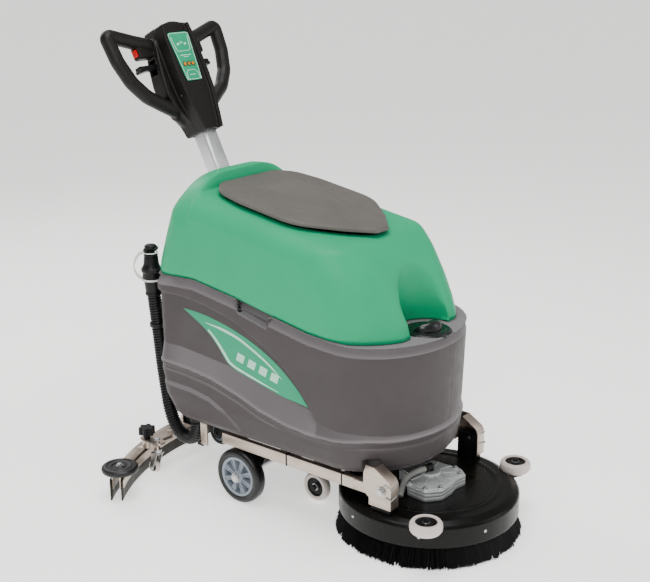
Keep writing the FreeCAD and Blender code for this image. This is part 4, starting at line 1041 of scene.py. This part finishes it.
def make_brush():
    """The brush: a stepped block and rows of tufts whose filaments flare out to the floor."""
    body = lathe([(0, 97), (96, 97), (96, 84), (205, 84), (215, 78), (215, 66), (211, 62), (98, 62), (95, 72),
                  (0, 72)], 128, 1.5)
    publish("brush_disc", body, "brush", "block", ["brush_block"])
    draw = random.Random(31)
    parts = []
    rows = [(206, 233, 92, 30, 1.7), (194, 222, 84, 18, 2.6), (176, 188, 64, 8, 3.0), (150, 150, 50, 7, 3.0)]
    for root, tip, count, filaments, width in rows:
        for k in range(count):
            angle = 2 * math.pi * (k + draw.uniform(-0.08, 0.08)) / count
            reach = tip + draw.uniform(-4, 3)
            for _ in range(filaments):
                parts.append(filament(draw, angle, root, reach, width))
    publish("brush_tufts", merged(*parts), "brush", "bristle", ["bristle_ring"], sharp=80)


def filament(draw, angle, root, reach, width):
    """One bundle of bristle: a thin three-sided spike that leans outwards as it nears the floor."""
    radial = Vector((math.cos(angle), math.sin(angle), 0))
    side = Vector((-radial.y, radial.x, 0))
    start_side = draw.uniform(-5.6, 5.6)
    end_side = start_side * draw.uniform(1.2, 1.5)
    start_out = draw.uniform(-3.5, 3.5)
    end_out = start_out + draw.uniform(-5, 2)
    foot = draw.uniform(0.1, 4.0)
    rows = []
    for t in (0.0, 0.4, 0.75, 1.0):
        out = root + start_out + (reach - root) * t ** 1.4 + (end_out - start_out) * t
        centre = radial * min(out, 237.0) + side * (start_side + (end_side - start_side) * t)
        centre.z = 63 + (foot - 63) * t
        size = width * (1.0 - 0.25 * t)
        rows.append([tuple(centre + radial * size * math.cos(a) + side * size * math.sin(a) * 0.8)
                     for a in (0.3, 2.4, 4.5)])
    return closed_loft(rows)


# ---- squeegee ----
def make_squeegee():
    keep("squeegee_body", "stainless", 0.8)
    keep("squeegee_blades", "rubber_blade", 0.5)
    keep("blade_clamps", "stainless", 0.5)
    keep("squeegee_beam", "stainless", 0.9)
    for side, name in ((-1, "right"), (1, "left")):
        low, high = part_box("bumper_disc_" + name)
        centre = from_row([tuple((low + high) / 2)])[0]
        disc = lathe_closed([(5, -9), (40, -9), (48, -6), (50, -1), (49, 5), (44, 8.5), (37, 9), (35, 7), (33, 7),
                             (31, 8.6), (22, 8.0), (20, 6), (17, 6), (15, 7.6), (5, 7.6)], 96, 0.9)
        publish("bumper_plate_" + name, shifted(disc, *centre), "disc_" + name, "rubber_disc",
                ["bumper_disc_" + name])
        moulded("clamp_knob_" + name, ["star_knob_" + name], [], 1.0, 3, "knob_" + name, "knob_black")
        keep("sq_caster_fork_" + name, "zinc", 0.8)
        wheel = "sq_caster_wheel_" + name
        make_roller(wheel, "sq_wheel_" + name, (0, -1, 0), "roller", "roller_hub")
    screws = []
    for side in (-1, 1):
        screws.append(shifted(hex_bolt(12, 4.5, 1.6), -738, side * 379, 89))
        screws.append(shifted(hex_bolt(12, 5, 1.6), -757, side * 222, 103))
    publish("squeegee_bolts", merged(*screws), "squeegee", "zinc")


# ---- hoses ----
DRAIN_ROUTE = [(-774, -196, 566), (-774, -191, 506), (-773, -185, 446), (-769, -182, 380), (-761, -183, 310),
               (-748, -186, 246), (-735, -189, 190), (-716, -190, 148), (-686, -190, 123), (-652, -190, 125),
               (-628, -190, 150), (-626, -190, 183.6)]
SUCTION_ROUTE = [(-857, 0, 129.3), (-857, 0, 182), (-849, 16, 238), (-831, 38, 296), (-810, 60, 352),
                 (-795, 77, 404), (-786, 87, 455), (-783, 90, 503)]
WATER_ROUTE = [(6, -24, 166), (-16, -52, 160), (-22, -84, 140), (-8, -116, 119.5)]


def corrugated(route, radius, pitch, name, body, finish, nodes, ribbed=True):
    """A hose on one smooth line, with rings along it."""
    line = spline_points(route, name + "_line")
    path, _ = resampled(line, pitch * MM / 6)

    def radius_at(distance):
        if not ribbed:
            return radius * MM
        wave = 0.5 + 0.5 * math.cos(2 * math.pi * distance / (pitch * MM))
        return (radius - 3.2 * (1 - wave ** 0.6)) * MM

    shape = tube(path, radius_at, 32)
    piece = publish(name, shape, body, finish, nodes, sharp=80, in_metres=True)
    return piece


def make_hoses():
    corrugated(DRAIN_ROUTE, 19, 7.5, "drain_line", "chassis", "hose_black", ["drain_hose"])
    corrugated(SUCTION_ROUTE, 21, 8, "suction_line", "chassis", "hose_black", ["suction_hose"])
    corrugated(WATER_ROUTE, 8, 8, "water_line", "deck", "hose_grey", ["solution_hose"], ribbed=False)
    base = lathe([(0, 0), (11, 0), (11, 3), (9, 4), (9, 14), (6, 17), (0, 17)], 32, 1.0)
    spout = lathe([(0, 0), (9, 0), (9, 15), (10.4, 15), (10.4, 20), (0, 20)], 32, 0.8)
    elbow = merged(shifted(base, 8, -8, 157), pointing(spout, (-0.1, -1, 0), (8, -8, 166)))
    publish("water_elbow", elbow, "deck", "fitting_black")
    sleeve = lathe([(0, -50), (20.5, -50), (22, -48), (22, -42), (21, -40), (25, -2), (25, 4), (0, 4)], 48, 0.8)
    moulded("hose_couplings", ["hose_fittings"], [shifted(sleeve, -774, -193, 566)], 1.4, 2, "chassis",
            "fitting_black")
    knob = lathe([(0, 8), (7, 8), (8, 22), (14, 25), (17, 29), (17, 33), (13, 37), (0, 38)], 40, 1.0)
    moulded("drain_stopper", ["drain_plug"], [shifted(knob, -774, -196, 620)], 1.2, 3, "drain_plug",
            "fitting_black")
    make_tether()


def make_tether():
    """The moulded strap that holds the drain plug to its hose: two eyes and a flat bow between them."""
    strap = [(-790, -203, 636), (-803, -214, 628), (-812, -222, 606), (-812, -222, 585), (-803, -216, 567),
             (-792, -206, 560)]
    line = curve_through(strap, 6)
    bow = []
    for point in line:
        bow.append([tuple(point + Vector(step)) for step in
                    ((-1.4, -1.0, -4.5), (1.4, 1.0, -4.5), (1.4, 1.0, 4.5), (-1.4, -1.0, 4.5))])
    top = shifted(lathe_closed([(15.6, 0), (20, 0), (20, 2.4), (15.6, 2.4)], 48, 0.5), -774, -196, 634)
    foot = shifted(lathe_closed([(25.2, 0), (27.4, 0), (27.4, 5), (25.2, 5)], 48, 0.5), -774, -196, 559)
    publish("plug_tether", merged(closed_loft(bow), top, foot), "chassis", "tether_white")


# ---- floor, light and camera ----
FLOOR_HALF = 90.0            # metres, so that the floor's far edge lies behind everything
FLOOR_GLOW = 0.95
WORLD_LIGHT = 0.42
LAMPS = [  # name, place, aim, width in metres, watts
    ("top", (0.1, -0.4, 3.6), (0, 0, 0.4), 2.2, 95),
    ("key", (1.6, -2.6, 2.6), (0, 0, 0.5), 1.4, 45),
    ("rim", (-2.8, 0.6, 2.4), (0, 0, 0.6), 1.6, 40),
    ("fill", (2.8, 1.8, 2.0), (0.2, 0, 0.4), 2.0, 22),
]


def make_stage():
    mesh = bpy.data.meshes.new("floor")
    half = FLOOR_HALF
    rows = [[(-half, -half, 0), (half, -half, 0)], [(-half, half, 0), (half, half, 0)]]
    points, faces = sheet_of(rows)
    mesh.from_pydata(points, [], faces)
    floor = bpy.data.objects.new("floor", mesh)
    bpy.context.scene.collection.objects.link(floor)
    white = plastic("floor_white", linear(252, 252, 250), 0.8, 60, 0.02, 0.01, specular=0.0)
    shader = white.node_tree.nodes["Principled BSDF"]
    shader.inputs["Emission Color"].default_value = (1.0, 1.0, 0.985, 1)
    shader.inputs["Emission Strength"].default_value = FLOOR_GLOW
    mesh.materials.append(white)
    world = bpy.data.worlds.new("studio")
    world.use_nodes = True
    world.node_tree.nodes["Background"].inputs["Color"].default_value = (1.0, 1.0, 0.99, 1)
    world.node_tree.nodes["Background"].inputs["Strength"].default_value = WORLD_LIGHT
    bpy.context.scene.world = world
    for name, place, target, width, power in LAMPS:
        lamp = bpy.data.lights.new(name, "AREA")
        lamp.energy = power
        lamp.size = width
        lamp_object = bpy.data.objects.new(name, lamp)
        bpy.context.scene.collection.objects.link(lamp_object)
        lamp_object.location = place
        aim = Vector(target) - Vector(place)
        lamp_object.rotation_euler = aim.to_track_quat("-Z", "Y").to_euler()


def make_camera():
    camera = bpy.data.cameras.new("camera")
    camera.lens = 65.2
    camera.sensor_width = 36.0
    holder = bpy.data.objects.new("camera", camera)
    bpy.context.scene.collection.objects.link(holder)
    eye = Vector((1.8304, -2.2843, 1.4636))
    aim = Vector((0.0087, -0.0014, 0.5622)) - eye
    turn = aim.to_track_quat("-Z", "Y").to_matrix().to_4x4() @ Matrix.Rotation(-0.005, 4, "Z")
    holder.matrix_world = Matrix.Translation(eye) @ turn
    bpy.context.scene.camera = holder


make_tanks()
make_console()
make_wheels()
make_frame()
make_deck()
make_squeegee()
make_hoses()
make_stage()
make_camera()
